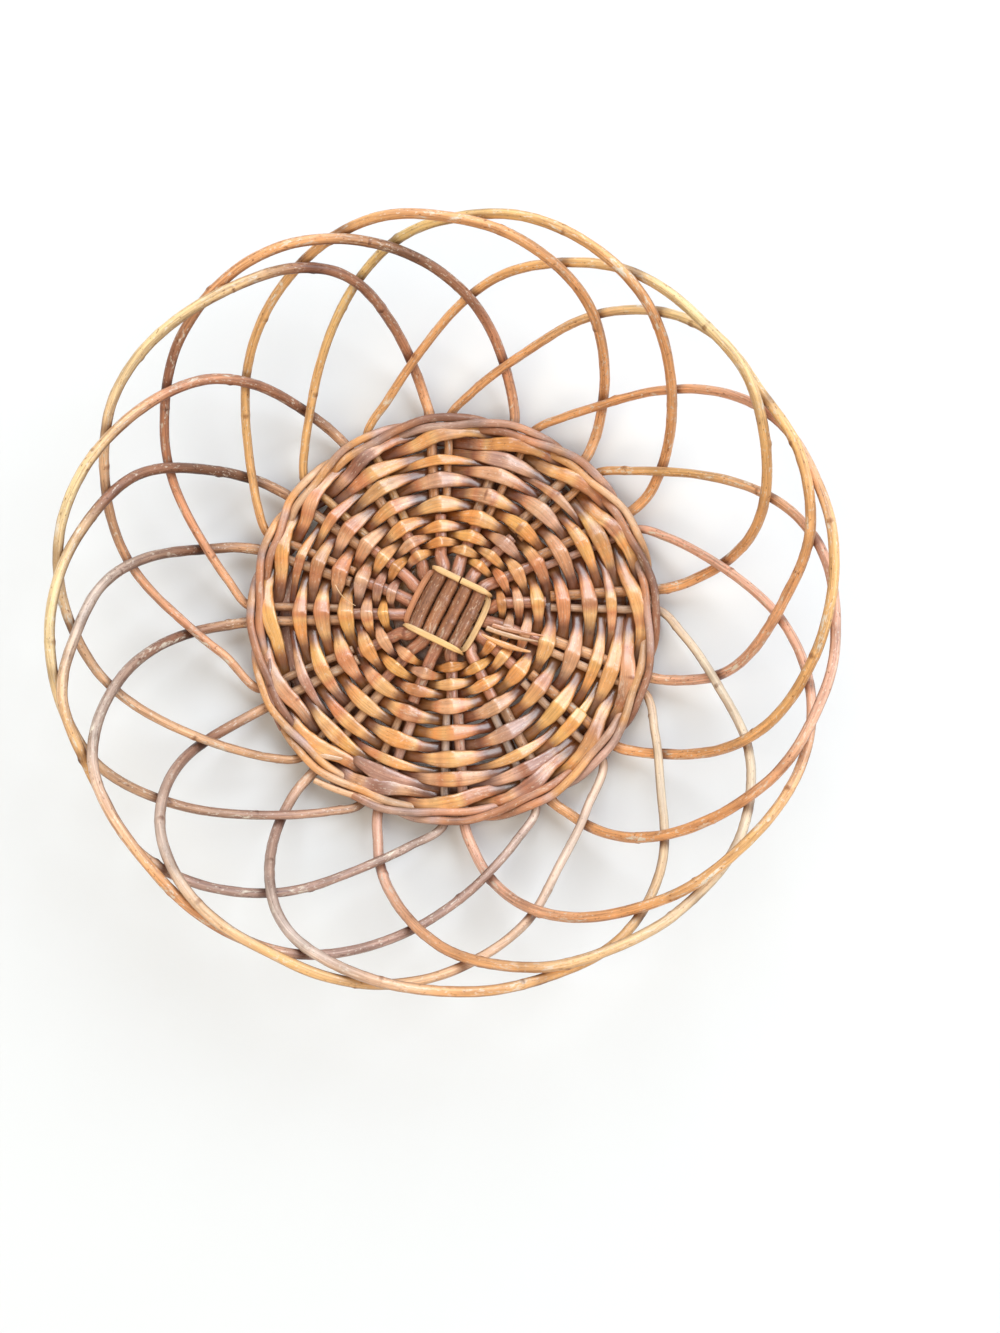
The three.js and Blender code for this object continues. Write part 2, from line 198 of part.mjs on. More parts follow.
// ------------------------------------------------------------- plain weaving
// A strip that goes over one spoke and under the next. first and last count
// spokes counter-clockwise, so the strip closes in on the cross from first to
// last; its spiral would reach the smallest row at spoke end.
const rowRadius = (turn) => {
  const k = Math.min(ROW_RADII.length - 2, Math.max(0, Math.floor(turn)));
  return ROW_RADII[k] + (ROW_RADII[k + 1] - ROW_RADII[k]) * (turn - k);
};
const rowWidth = (turn) => {
  const inner = rowRadius(turn) - rowRadius(turn - 0.5);
  const outer = rowRadius(turn + 0.5) - rowRadius(turn);
  return Math.min(WEAVER_WIDTH, Math.min(inner, outer) - ROW_GAP);
};
function plainWeaver(first, last, parity, end) {
  const radiusAt = (n) => rowRadius((end - n) / SPOKES);
  const points = [];
  const sideways = [];
  const rows = [];
  const reach = (r) => spokeRadius(r) + CLEAR + WEAVER_THICK / 2 + (r < 32 ? 0.22 : 0);
  const side = (n) => ((n + parity) % 2 === 0 ? 1 : -1);
  for (let n = first; n <= last; n++) {
    const p = n % SPOKES;
    const r = radiusAt(n);
    const s = side(n);
    const z = spokeHeight(p, r) + s * reach(r);
    const add = (x, rr) => {
      const b = beside(p, rr, x, 0, z);
      b.out.z = (spokeHeight(p, rr + 1) - spokeHeight(p, rr - 1)) / 2; // lies along the spoke
      points.push(b.point);
      sideways.push(b.out);
      rows.push(rowWidth((end - n) / SPOKES));
    };
    if (n === first) add(SPLICE_GAP / 2, r);
    else {
      const rp = radiusAt(n - 1);
      const g = crossingSlope((n - 1) % SPOKES, rp, r, reach(rp), reach(r), side(n - 1));
      add(-(halfPair(p, r) + reach(r) * Math.tan(Math.abs(g) / 2)), r);
    }
    if (n === last) add(-SPLICE_GAP / 2, r);
    else {
      const rn = radiusAt(n + 1);
      const g = crossingSlope(p, r, rn, reach(r), reach(rn), s);
      add(halfPair(p, r) + reach(r) * Math.tan(Math.abs(g) / 2), r);
    }
  }
  const w = rows.map((width) => (width / 2) * Math.SQRT2);
  const t = points.map(() => (WEAVER_THICK / 2) * Math.SQRT2);
  return bentRod(points, w, t, 4, sideways, Math.PI / 4);
}

// --------------------------------------------------------------- twined row
// One of two strips that pass each other between the spokes, so that one of
// them is on top at every spoke.
function twinedWeaver(first, last, parity) {
  const points = [];
  const sideways = [];
  const widths = [];
  const reach = SPOKE_ROOM + CLEAR + PAIR_THICK / 2;
  const side = (n) => ((n + parity) % 2 === 0 ? 1 : -1);
  const r = PAIR_ROW;
  const push = (p, x, sway, z, w) => {
    const b = beside(p, r, x, sway, z);
    points.push(b.point);
    sideways.push(b.out);
    widths.push((w / 2) * Math.SQRT2);
  };
  for (let n = first; n <= last; n++) {
    const p = n % SPOKES;
    const s = side(n);
    const z0 = spokeHeight(p, r);
    if (n === first) push(p, SPLICE_GAP / 2, 0, z0 + s * reach, PAIR_WIDTH);
    if (n === last) {
      push(p, -SPLICE_GAP / 2, 0, z0 + s * reach, PAIR_WIDTH);
      break;
    }
    const q = (p + 1) % SPOKES;
    const g = crossingSlope(p, r, r, reach, reach, s);
    const a = halfPair(p, r) + reach * Math.tan(Math.abs(g) / 2);
    const b = halfPair(q, r) + reach * Math.tan(Math.abs(g) / 2);
    const span = stride(p, r, r);
    push(p, a, 0, z0 + s * reach, PAIR_WIDTH);
    const x1 = a + (span - a - b) * 0.33;
    const x2 = a + (span - a - b) * 0.67;
    push(p, x1, -s * PAIR_SWAY, z0 + s * reach * 0.34, PAIR_NECK);
    push(p, x2, -s * PAIR_SWAY, z0 - s * reach * 0.34, PAIR_NECK);
    push(q, -b, 0, spokeHeight(q, r) - s * reach, PAIR_WIDTH);
  }
  const t = points.map(() => (PAIR_THICK / 2) * Math.SQRT2);
  return bentRod(points, widths, t, 4, sideways, Math.PI / 4);
}

// ---------------------------------------------------------- three-rod wale
// Counter-clockwise, each rod goes over two spokes, first on the outside and
// then on the inside, and under the third. The rods turn about each other like
// a rope, and the lowest stretches have a flat underside in the plane z = 0.
function waleRod(first, last, phase) {
  const points = [];
  const sideways = [];
  const reach = SPOKE_ROOM + CLEAR + WALE_RADIUS * 1.06;
  const flat = WALE_RADIUS * 1.06 * Math.cos(Math.PI / 6);
  const r = WALE_ROW;
  const state = (n) => (n + phase) % 3; // 0 over outside, 1 over inside, 2 under
  const at = (n) => {
    const st = state(n);
    const z0 = spokeHeight(n % SPOKES, r);
    if (st === 0) return { sway: WALE_SWAY, z: z0 + reach };
    if (st === 1) return { sway: -WALE_SWAY, z: z0 + reach };
    return { sway: 0, z: flat };
  };
  const push = (p, x, sway, z) => {
    const b = beside(p, r, x, sway, z);
    points.push(b.point);
    sideways.push(b.out);
  };
  for (let n = first; n <= last; n++) {
    const p = n % SPOKES;
    const here = at(n);
    const a = halfPair(p, r) + 1.6;
    if (n === first) push(p, SPLICE_GAP / 2, here.sway, here.z);
    else push(p, -a, here.sway, here.z);
    if (n === last) {
      points.pop();
      sideways.pop();
      push(p, -a, here.sway, here.z);
      push(p, -SPLICE_GAP / 2, here.sway, here.z);
      break;
    }
    push(p, a, here.sway, here.z);
    const span = stride(p, r, r);
    const zm = spokeHeight(p, r);
    const st = state(n);
    if (st === 0) push(p, span / 2, 0, zm + reach);
    else if (st === 1) push(p, span / 2, -WALE_SWAY_MID, zm);
    else push(p, span / 2, WALE_SWAY_MID, zm);
  }
  const w = points.map(() => WALE_RADIUS * 1.06);
  const geometry = bentRod(points, w, w, 6, sideways, Math.PI / 6);
  const position = geometry.getAttribute('position');
  for (let i = 0; i < position.count; i++) {
    if (position.getZ(i) < 0.2) position.setZ(i, 0);
  }
  geometry.computeVertexNormals();
  return geometry;
}

// ----------------------------------------------------------- the base cross
// One base stick: two opposite spokes joined through the cross.
function baseStick(pFar, pNear, offset, upper) {
  const dir = unit(CROSS_DIRECTION + (upper ? 0 : 90));
  const left = new THREE.Vector2(-dir.y, dir.x);
  const mid = baseHeight(0) + (upper ? LAYER : -LAYER);
  const points = [];
  const radii = [];
  const add = (v, z, rr) => {
    points.push(V3(v.x, v.y, z));
    radii.push(rr * 1.04);
  };
  const spokeEnd = (p, list) => list.forEach((r) => {
    const f = Math.min(1, (r - 17) / (STICK_END - 17));
    add(spokePoint(p, r), spokeHeight(p, r), 2.72 + (STICK_RADIUS_END - 2.72) * f);
  });
  spokeEnd(pNear, [STICK_END, 34, 27, 23.5]);
  const inCross = (along) => add(crossMiddle.clone().addScaledVector(dir, along).addScaledVector(left, offset), mid, STICK_RADIUS_MID);
  inCross(-16.3);
  inCross(16.3);
  spokeEnd(pFar, [23.5, 27, 34, STICK_END]);
  return bentRod(points, radii, radii, 6, null, Math.PI / 6);
}

// A thin binding round the cross: over one bundle, under the next.
function crossTie(overUpper) {
  const dir = unit(CROSS_DIRECTION);
  const left = new THREE.Vector2(-dir.y, dir.x);
  const centre = baseHeight(0);
  const side = TIE_SIDE;
  const edge = TIE_SIDE - 2.2;
  const reach = STICK_RADIUS_MID * 1.04 + CLEAR + TIE_RADIUS;
  const points = [];
  // sides in turn: across the upper bundle's far end, then clockwise
  for (let k = 0; k < 4; k++) {
    const upper = k % 2 === 0;
    const over = upper === overUpper;
    const z = centre + (upper ? LAYER : -LAYER) + (over ? reach : -reach);
    const a = [1, 0, -1, 0][k];
    const b = [0, -1, 0, 1][k];
    const out = dir.clone().multiplyScalar(a).addScaledVector(left, b);
    const along = dir.clone().multiplyScalar(b).addScaledVector(left, -a); // clockwise
    const place = (o, l) => crossMiddle.clone().addScaledVector(out, o).addScaledVector(along, l);
    const put = (o, l, h) => {
      const q = place(o, l);
      points.push(V3(q.x, q.y, h));
    };
    put(side, k === 0 ? 0 : -edge, z);
    put(side, edge, z);
    // the corner: the tie that spans the outer heights passes outside the other
    if (overUpper) {
      put(TIE_SIDE + 0.05, TIE_SIDE - 0.5, z * 0.72 + centre * 0.28);
      put(TIE_SIDE - 0.5, TIE_SIDE + 0.05, centre - (z - centre) * 0.72);
    } else {
      put(TIE_SIDE - 1.3, TIE_SIDE - 1.3, centre);
    }
  }
  const out = dir;
  const q = crossMiddle.clone().addScaledVector(out, side).addScaledVector(left, edge);
  const z = centre + LAYER + (overUpper ? reach : -reach);
  points.push(V3(q.x, q.y, z));
  const e = crossMiddle.clone().addScaledVector(out, side).addScaledVector(left, SPLICE_GAP);
  points.push(V3(e.x, e.y, z));
  const w = points.map(() => TIE_RADIUS);
  return bentRod(points, w, w, 5, null, 0);
}

// -------------------------------------------------------------------- arches
function archRod(route) {
  const points = [];
  for (let k = 0; k < route.length; k += 3) {
    const e = unit(route[k]);
    points.push(V3(e.x * route[k + 1], e.y * route[k + 1], route[k + 2]));
  }
  const length = [0];
  for (let k = 1; k < points.length; k++) length.push(length[k - 1] + points[k].distanceTo(points[k - 1]));
  const total = length[length.length - 1];
  const radii = length.map((l) => (BUTT_RADIUS + (TIP_RADIUS - BUTT_RADIUS) * (l / total)) * 1.05);
  return bentRod(points, radii, radii, ARCH_SIDES, null, Math.PI / 6);
}

// ------------------------------------------------------------------ assembly
const basket = new THREE.Group();
basket.position.set(CENTRE_SHIFT[0], CENTRE_SHIFT[1], 0);

const finish = {
  arch: () => new THREE.MeshStandardMaterial({ color: 0xb98150, roughness: 0.42, metalness: 0 }),
  archPale: () => new THREE.MeshStandardMaterial({ color: 0xd8b184, roughness: 0.42, metalness: 0 }),
  weaver: () => new THREE.MeshStandardMaterial({ color: 0xd2985a, roughness: 0.5, metalness: 0 }),
  weaverMauve: () => new THREE.MeshStandardMaterial({ color: 0xa87c66, roughness: 0.5, metalness: 0 }),
  wale: () => new THREE.MeshStandardMaterial({ color: 0xbf8f66, roughness: 0.48, metalness: 0 }),
  stick: () => new THREE.MeshStandardMaterial({ color: 0x8f6b55, roughness: 0.55, metalness: 0 }),
  tie: () => new THREE.MeshStandardMaterial({ color: 0xe6c795, roughness: 0.5, metalness: 0 }),
};
function piece(name, geometry, material) {
  const mesh = new THREE.Mesh(geometry, material);
  mesh.name = name;
  basket.add(mesh);
  return mesh;
}
const two = (n) => String(n).padStart(2, '0');

// sixteen arch rods
ARCH_ROUTES.forEach((route, i) => {
  piece(`arch_rod_${two(i + 1)}`, archRod(route), i === 9 || i === 10 || i === 11 ? finish.archPale() : finish.arch());
});

// the cross: four sticks over four, each one two opposite spokes
const half = STICK_SPACING / 2;
[[1, 12, -3], [2, 11, -1], [3, 10, 1], [4, 9, 3]].forEach(([far, near, m], k) => {
  piece(`base_stick_upper_${k + 1}`, baseStick(far, near, m * half, true), finish.stick());
});
[[5, 0, -3], [6, 15, -1], [7, 14, 1], [8, 13, 3]].forEach(([far, near, m], k) => {
  piece(`base_stick_lower_${k + 1}`, baseStick(far, near, m * half, false), finish.stick());
});
piece('cross_tie_outer', crossTie(true), finish.tie());
piece('cross_tie_inner', crossTie(false), finish.tie());

// two chasing weavers, each in three lengths that meet under a spoke
for (let k = 0; k < 3; k++) {
  piece(`weaver_a_length_${k + 1}`, plainWeaver(WEAVER_A_CUTS[k + 1], WEAVER_A_CUTS[k], 0, WEAVER_A_END), finish.weaver());
  piece(`weaver_b_length_${k + 1}`, plainWeaver(WEAVER_B_CUTS[k + 1], WEAVER_B_CUTS[k], 1, WEAVER_B_END), finish.weaverMauve());
}
piece('twined_weaver_a', twinedWeaver(1, 17, 0), finish.weaver());
piece('twined_weaver_b', twinedWeaver(0, 16, 1), finish.weaverMauve());
piece('wale_rod_1', waleRod(2, 17, 0), finish.wale());
piece('wale_rod_2', waleRod(1, 16, 1), finish.wale());
piece('wale_rod_3', waleRod(0, 18, 2), finish.wale());

export default basket;
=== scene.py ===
import math

import bpy
import numpy as np
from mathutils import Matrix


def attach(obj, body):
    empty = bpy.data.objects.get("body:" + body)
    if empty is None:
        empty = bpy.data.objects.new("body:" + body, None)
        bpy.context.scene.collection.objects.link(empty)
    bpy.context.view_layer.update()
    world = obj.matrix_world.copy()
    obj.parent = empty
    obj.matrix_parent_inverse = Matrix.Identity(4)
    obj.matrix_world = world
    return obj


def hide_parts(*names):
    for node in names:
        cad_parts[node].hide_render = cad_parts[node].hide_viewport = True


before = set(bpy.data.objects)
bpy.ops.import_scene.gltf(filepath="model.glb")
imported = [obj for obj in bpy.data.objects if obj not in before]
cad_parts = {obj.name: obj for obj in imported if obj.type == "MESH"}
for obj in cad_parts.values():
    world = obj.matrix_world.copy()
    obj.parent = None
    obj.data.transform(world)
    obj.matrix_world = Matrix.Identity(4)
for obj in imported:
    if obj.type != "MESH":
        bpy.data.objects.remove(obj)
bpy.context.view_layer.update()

# ------------------------------------------------------------------ dimensions
BUTT_RADIUS = 2.45
TIP_RADIUS = 1.9
BASE_RADIUS = 91.5
FLOOR_TO_SPOKES = 6.65
DOME = 3.0
HUB = np.array([-3.1, 4.3])
STICK_RADIUS_MID = 3.0
STICK_RADIUS_END = 2.5
STICK_SPACING = 6.65
STICK_END = 43.5
LAYER = 3.2
CROSS_STRAIGHT = 17.6
CROSS_MERGE = 27.0
CROSS_DIRECTION = 63.5
CROSS_MIDDLE = HUB + np.array([0.6, -1.0])
TIE_SIDE = 14.25
LAYOUT_RADIUS = 24.3
ROW_RADII = [23.6, 30.4, 38.3, 48.8, 60.6, 70.4, 76.8]
WEAVER_A_END, WEAVER_B_END = 99, 107
WEAVER_A_CUTS = [99, 55, 29, 9]
WEAVER_B_CUTS = [104, 60, 34, 10]
PAIR_ROW = 81.0
PAIR_SWAY = 1.5
WALE_ROW = 88.4
WALE_RADIUS = 1.75
WALE_SWAY = 1.95
WALE_SWAY_MID = 2.15
SPLICE_GAP = 0.8
CENTRE_SHIFT = np.array([0.63, -1.51, 0.0])
BUTT_ANGLE = [8.1, 31.2, 50.7, 73.0, 96.8, 121.8, 143.1, 160.2, 180.8, 205.2, 227.6, 248.7, 273.2, 298.4, 321.8, 343.3]
TIP_ANGLE = [2.2, 25.9, 45.6, 67.2, 91.2, 115.3, 136.8, 155.3, 176.2, 199.8, 222.2, 243.5, 267.2, 293.5, 316.2, 338.4]
SPOKES = 16

# centreline of each arch rod as (angle, radius, height) triples, thick end first
ARCH_ROUTES = [
    [12.53,44.72,8.89, 10.29,60.24,8.32, 8.97,75.82,7.58, 8.03,92.67,6.60, 8.25,102.22,8.04, 9.19,110.99,13.37, 10.34,119.25,19.88, 11.84,126.54,28.49, 13.76,132.54,38.65, 16.21,137.14,48.10, 19.03,140.68,55.50, 22.06,143.68,60.76, 25.11,146.16,65.78, 28.15,148.31,70.41, 31.17,150.19,75.05, 34.24,152.03,78.16, 37.44,153.59,79.29, 40.72,154.39,79.20, 44.05,154.81,78.31, 47.37,155.32,77.45, 50.66,155.99,76.93, 53.96,156.58,76.24, 57.28,156.89,74.83, 60.59,156.59,73.26, 63.90,155.57,71.33, 67.21,154.06,68.31, 70.52,152.20,64.69, 73.87,150.15,60.81, 77.23,147.85,56.57, 80.54,145.00,51.55, 83.71,141.40,45.37, 86.73,136.84,39.67, 89.67,131.43,35.04, 92.64,125.75,30.26, 95.73,119.85,25.83, 99.04,113.86,21.89, 102.66,108.16,17.46, 106.61,102.47,13.80, 115.32,92.25,6.60, 115.47,77.28,7.58, 115.71,63.43,8.32, 116.08,49.58,8.89],
    [35.97,46.12,8.89, 33.60,61.17,8.32, 32.17,76.27,7.58, 31.13,92.62,6.60, 32.32,103.39,9.19, 34.54,111.19,13.91, 36.92,117.99,20.59, 39.41,123.77,28.80, 41.94,128.87,37.39, 44.53,133.61,45.23, 47.20,138.17,51.76, 49.87,142.22,58.39, 52.59,145.80,64.62, 55.42,148.81,70.17, 58.35,151.20,74.93, 61.39,153.29,78.25, 64.50,155.22,80.30, 67.62,156.84,81.93, 70.75,158.19,83.02, 73.91,159.26,83.54, 77.09,160.00,83.36, 80.30,160.29,82.25, 83.52,160.13,80.00, 86.73,159.44,77.73, 89.94,158.34,75.88, 93.16,157.03,73.37, 96.33,155.15,69.84, 99.39,152.54,65.04, 102.35,149.33,59.33, 105.24,145.61,53.24, 108.09,141.13,48.00, 110.94,136.31,42.64, 113.82,131.18,37.33, 116.77,125.76,32.23, 119.82,120.05,27.47, 123.01,114.05,23.36, 126.47,108.13,19.20, 130.27,102.40,15.11, 136.83,92.36,6.60, 136.70,77.37,7.58, 136.55,63.49,8.32, 136.31,49.61,8.89],
    [56.30,47.47,8.89, 53.56,62.06,8.32, 51.86,76.75,7.58, 50.62,92.66,6.60, 52.00,103.54,8.00, 53.80,111.75,12.97, 55.63,119.13,19.99, 57.57,125.53,28.81, 59.67,131.21,37.91, 61.93,136.04,47.38, 64.47,140.36,55.25, 67.31,144.11,61.16, 70.33,147.04,66.30, 73.43,149.47,70.72, 76.54,151.59,74.72, 79.68,153.38,78.17, 82.87,154.67,80.92, 86.11,155.80,82.34, 89.37,157.03,82.72, 92.60,158.19,83.18, 95.83,159.18,83.25, 99.08,159.70,82.33, 102.33,159.64,79.98, 105.56,158.80,77.27, 108.75,157.26,74.52, 111.92,155.39,70.94, 115.07,153.17,66.80, 118.21,150.62,62.19, 121.33,147.72,57.11, 124.40,144.40,51.55, 127.42,140.61,45.59, 130.37,136.39,39.09, 133.26,131.26,33.59, 136.19,125.48,29.05, 139.23,119.50,24.66, 142.51,113.34,20.96, 146.06,107.30,17.23, 149.93,101.42,13.36, 155.32,92.27,6.60, 155.12,77.12,7.58, 154.86,63.09,8.32, 154.46,49.06,8.89],
    [77.60,48.63,8.89, 75.37,62.89,8.32, 73.97,77.20,7.58, 72.92,92.69,6.60, 74.74,101.80,7.97, 76.89,109.71,12.53, 78.97,116.90,18.83, 81.01,123.24,26.97, 83.22,128.91,35.38, 85.66,133.70,44.01, 88.32,138.21,50.93, 91.10,142.15,57.42, 93.97,145.55,63.43, 96.93,148.46,68.86, 99.95,150.93,73.68, 103.00,152.96,78.09, 106.10,154.95,81.09, 109.23,156.88,82.84, 112.38,158.38,84.00, 115.56,159.43,84.25, 118.74,160.07,83.63, 121.92,160.33,82.07, 125.08,159.99,80.18, 128.23,159.09,78.10, 131.37,157.80,75.60, 134.47,156.17,72.39, 137.52,154.06,68.37, 140.48,151.44,63.52, 143.40,148.38,58.20, 146.33,145.05,52.75, 149.29,141.45,47.20, 152.20,137.47,41.09, 155.02,132.47,35.92, 157.81,126.77,31.34, 160.64,120.76,26.83, 163.63,114.45,22.98, 166.83,108.24,18.67, 170.31,102.06,14.45, 176.23,92.31,6.60, 175.86,76.83,7.58, 175.38,62.51,8.32, 174.61,48.19,8.89],
    [99.67,49.42,8.89, 98.29,63.39,8.32, 97.41,77.38,7.58, 96.74,92.51,6.60, 97.66,102.20,7.19, 98.56,110.98,12.22, 99.56,118.91,19.51, 100.72,125.85,28.92, 102.06,132.18,38.92, 103.60,137.77,49.51, 105.56,142.82,58.98, 108.13,147.03,66.20, 111.16,149.95,71.76, 114.40,151.98,75.83, 117.72,153.35,78.70, 121.07,154.28,80.80, 124.42,155.10,82.46, 127.75,156.12,83.50, 131.05,157.20,84.07, 134.33,158.14,84.43, 137.61,158.90,84.39, 140.87,159.40,83.78, 144.12,159.56,82.45, 147.34,159.28,80.22, 150.49,158.46,76.69, 153.56,156.80,72.61, 156.62,154.55,68.46, 159.67,152.11,63.90, 162.74,149.42,59.04, 165.76,146.32,53.71, 168.72,142.78,47.70, 171.61,138.43,41.95, 174.41,133.01,37.17, 177.10,127.10,31.90, 179.87,120.86,26.91, 182.94,114.46,22.78, 186.28,108.27,18.26, 189.96,102.09,14.15, 199.85,92.46,6.60, 199.27,76.52,7.58, 198.48,61.77,8.32, 197.21,47.04,8.89],
    [121.86,49.66,8.89, 121.83,63.51,8.32, 121.81,77.37,7.58, 121.77,92.34,6.60, 122.98,101.33,8.35, 124.62,109.46,13.02, 126.30,116.79,19.76, 128.06,123.25,28.38, 130.06,128.97,37.69, 132.37,134.21,46.05, 135.01,138.96,52.86, 137.99,142.70,58.91, 141.17,145.61,63.88, 144.41,148.00,68.04, 147.66,150.10,71.78, 150.91,151.92,75.26, 154.13,153.70,77.71, 157.32,155.46,79.12, 160.49,156.91,80.09, 163.66,158.02,80.36, 166.81,158.78,79.87, 169.93,159.19,78.49, 173.04,158.99,76.84, 176.13,158.17,75.05, 179.18,156.84,72.74, 182.19,155.11,69.64, 185.16,153.05,65.98, 188.11,150.66,61.86, 191.00,147.86,56.95, 193.79,144.23,51.97, 196.52,139.71,47.52, 199.20,134.83,42.53, 201.93,129.65,37.59, 204.78,124.22,33.01, 207.75,118.75,28.01, 210.85,113.30,22.33, 214.21,107.60,17.63, 217.81,101.66,13.78, 222.25,92.48,6.60, 221.64,76.05,7.58, 220.81,60.84,8.32, 219.43,45.65,8.89],
    [142.10,49.46,8.89, 142.57,63.34,8.32, 142.88,77.22,7.58, 143.08,92.21,6.60, 144.31,104.96,8.76, 145.84,112.73,14.75, 147.69,119.54,22.84, 149.68,125.76,31.61, 151.72,131.36,41.34, 153.89,136.72,50.15, 156.43,141.56,57.29, 159.45,145.12,63.10, 162.67,147.78,67.61, 165.91,150.06,71.60, 169.12,152.18,75.41, 172.31,154.00,78.95, 175.48,155.72,81.08, 178.61,157.28,82.03, 181.72,158.53,82.43, 184.81,159.47,82.17, 187.87,160.14,81.21, 190.91,160.45,80.01, 193.97,160.29,78.98, 197.02,159.71,77.89, 200.03,158.87,75.97, 203.00,157.48,73.46, 205.83,155.39,69.52, 208.47,152.46,64.12, 210.99,148.97,57.83, 213.51,145.03,51.47, 216.13,140.45,46.57, 218.77,135.52,41.53, 221.43,130.26,36.45, 224.20,124.74,31.58, 227.16,119.08,27.30, 230.36,113.43,23.07, 233.74,107.85,18.24, 237.41,102.08,14.44, 243.54,92.41,6.60, 243.11,75.52,7.58, 242.52,59.89,8.32, 241.51,44.26,8.89],
    [160.30,48.99,8.89, 160.25,63.02,8.32, 160.22,77.05,7.58, 160.18,92.21,6.60, 161.72,103.32,8.58, 163.78,111.48,13.54, 165.70,119.01,20.77, 167.60,125.76,30.30, 169.73,131.77,40.66, 172.20,137.26,49.98, 174.97,142.22,57.47, 178.12,145.97,63.99, 181.47,148.76,69.11, 184.81,151.18,73.74, 188.08,153.60,78.69, 191.30,155.90,82.73, 194.52,157.51,84.32, 197.69,158.14,83.12, 200.81,158.22,80.71, 203.95,158.20,78.57, 207.18,158.08,78.11, 210.42,158.28,78.08, 213.67,158.72,78.51, 216.89,158.99,78.59, 220.04,158.53,77.37, 223.07,157.07,74.53, 226.00,154.93,70.43, 228.88,152.30,65.53, 231.73,149.24,60.03, 234.56,145.74,54.08, 237.38,141.85,47.48, 240.25,137.21,42.13, 243.09,131.87,36.99, 245.91,126.06,31.67, 248.90,120.02,26.82, 252.24,114.02,23.05, 255.87,108.20,18.99, 259.81,102.43,14.87, 267.23,92.42,6.60, 267.01,75.14,7.58, 266.73,59.14,8.32, 266.23,43.14,8.89],
    [180.56,48.02,8.89, 180.68,62.36,8.32, 180.75,76.69,7.58, 180.79,92.18,6.60, 181.75,104.00,8.67, 182.90,113.04,14.35, 184.49,121.21,22.43, 186.57,128.32,32.69, 189.08,134.59,43.27, 191.98,139.82,54.08, 195.08,144.45,63.40, 198.27,148.59,71.23, 201.59,151.88,78.59, 204.98,154.45,83.31, 208.36,156.17,84.82, 211.73,157.04,85.00, 215.06,157.48,84.29, 218.37,157.79,83.19, 221.67,158.13,81.91, 224.95,158.70,80.38, 228.25,159.14,79.52, 231.57,159.17,79.10, 234.87,158.75,78.35, 238.15,158.04,76.91, 241.42,157.09,75.00, 244.67,155.79,72.43, 247.86,153.92,68.81, 250.98,151.33,63.97, 254.05,148.14,58.26, 257.14,144.50,52.10, 260.28,140.49,45.67, 263.50,136.06,39.39, 266.85,131.05,34.99, 270.30,125.74,30.73, 273.91,120.17,26.69, 277.70,114.38,23.33, 281.69,108.52,19.16, 285.95,102.54,14.97, 293.52,92.33,6.60, 293.34,74.87,7.58, 293.09,58.70,8.32, 292.65,42.53,8.89],
    [203.31,46.64,8.89, 204.24,61.40,8.32, 204.81,76.16,7.58, 205.20,92.11,6.60, 205.65,103.06,9.00, 206.26,112.03,14.72, 207.05,120.57,21.79, 208.33,128.33,31.32, 210.34,135.03,42.72, 213.02,140.57,54.06, 216.04,145.28,62.97, 219.29,148.94,70.10, 222.68,151.52,75.64, 226.10,153.29,80.07, 229.45,154.67,82.68, 232.73,155.75,83.47, 235.96,156.35,83.09, 239.16,156.50,81.83, 242.35,156.52,80.28, 245.55,156.74,79.12, 248.77,157.13,78.29, 251.97,157.42,77.16, 255.15,157.34,75.56, 258.34,156.78,73.82, 261.52,155.75,71.81, 264.68,154.28,68.86, 267.82,152.37,65.12, 270.96,150.01,60.60, 274.11,147.23,55.46, 277.30,144.08,49.90, 280.54,140.56,44.04, 283.76,136.40,37.22, 286.88,131.10,31.56, 289.96,124.97,27.17, 293.27,118.83,23.07, 297.07,113.22,20.12, 301.25,107.96,18.26, 305.61,102.53,15.51, 316.21,92.24,6.60, 316.43,74.78,7.58, 316.79,58.62,8.32, 317.41,42.46,8.89],
    [225.71,45.25,8.89, 226.65,60.47,8.32, 227.22,75.69,7.58, 227.60,92.14,6.60, 227.85,102.95,8.77, 229.06,111.93,14.25, 230.86,120.16,22.36, 233.14,127.48,32.90, 235.79,133.92,44.17, 238.67,139.59,54.25, 241.74,144.44,62.13, 245.07,147.89,68.49, 248.50,149.99,72.59, 251.91,151.34,75.43, 255.28,152.44,77.61, 258.59,153.48,78.84, 261.86,154.35,79.11, 265.10,155.00,79.01, 268.33,155.53,78.67, 271.55,156.04,78.30, 274.75,156.51,77.84, 277.95,156.78,76.98, 281.14,156.72,75.49, 284.33,156.46,73.42, 287.55,156.11,72.12, 290.79,155.75,71.53, 294.04,155.09,70.23, 297.26,153.67,67.51, 300.44,151.35,63.20, 303.59,148.23,57.91, 306.73,144.42,51.86, 309.82,139.84,45.09, 312.82,134.38,37.49, 315.69,128.00,31.17, 318.68,121.31,25.62, 322.09,114.91,21.22, 325.95,108.89,18.29, 330.08,102.86,14.68, 338.39,92.11,6.60, 338.94,74.84,7.58, 339.76,58.87,8.32, 341.18,42.92,8.89],
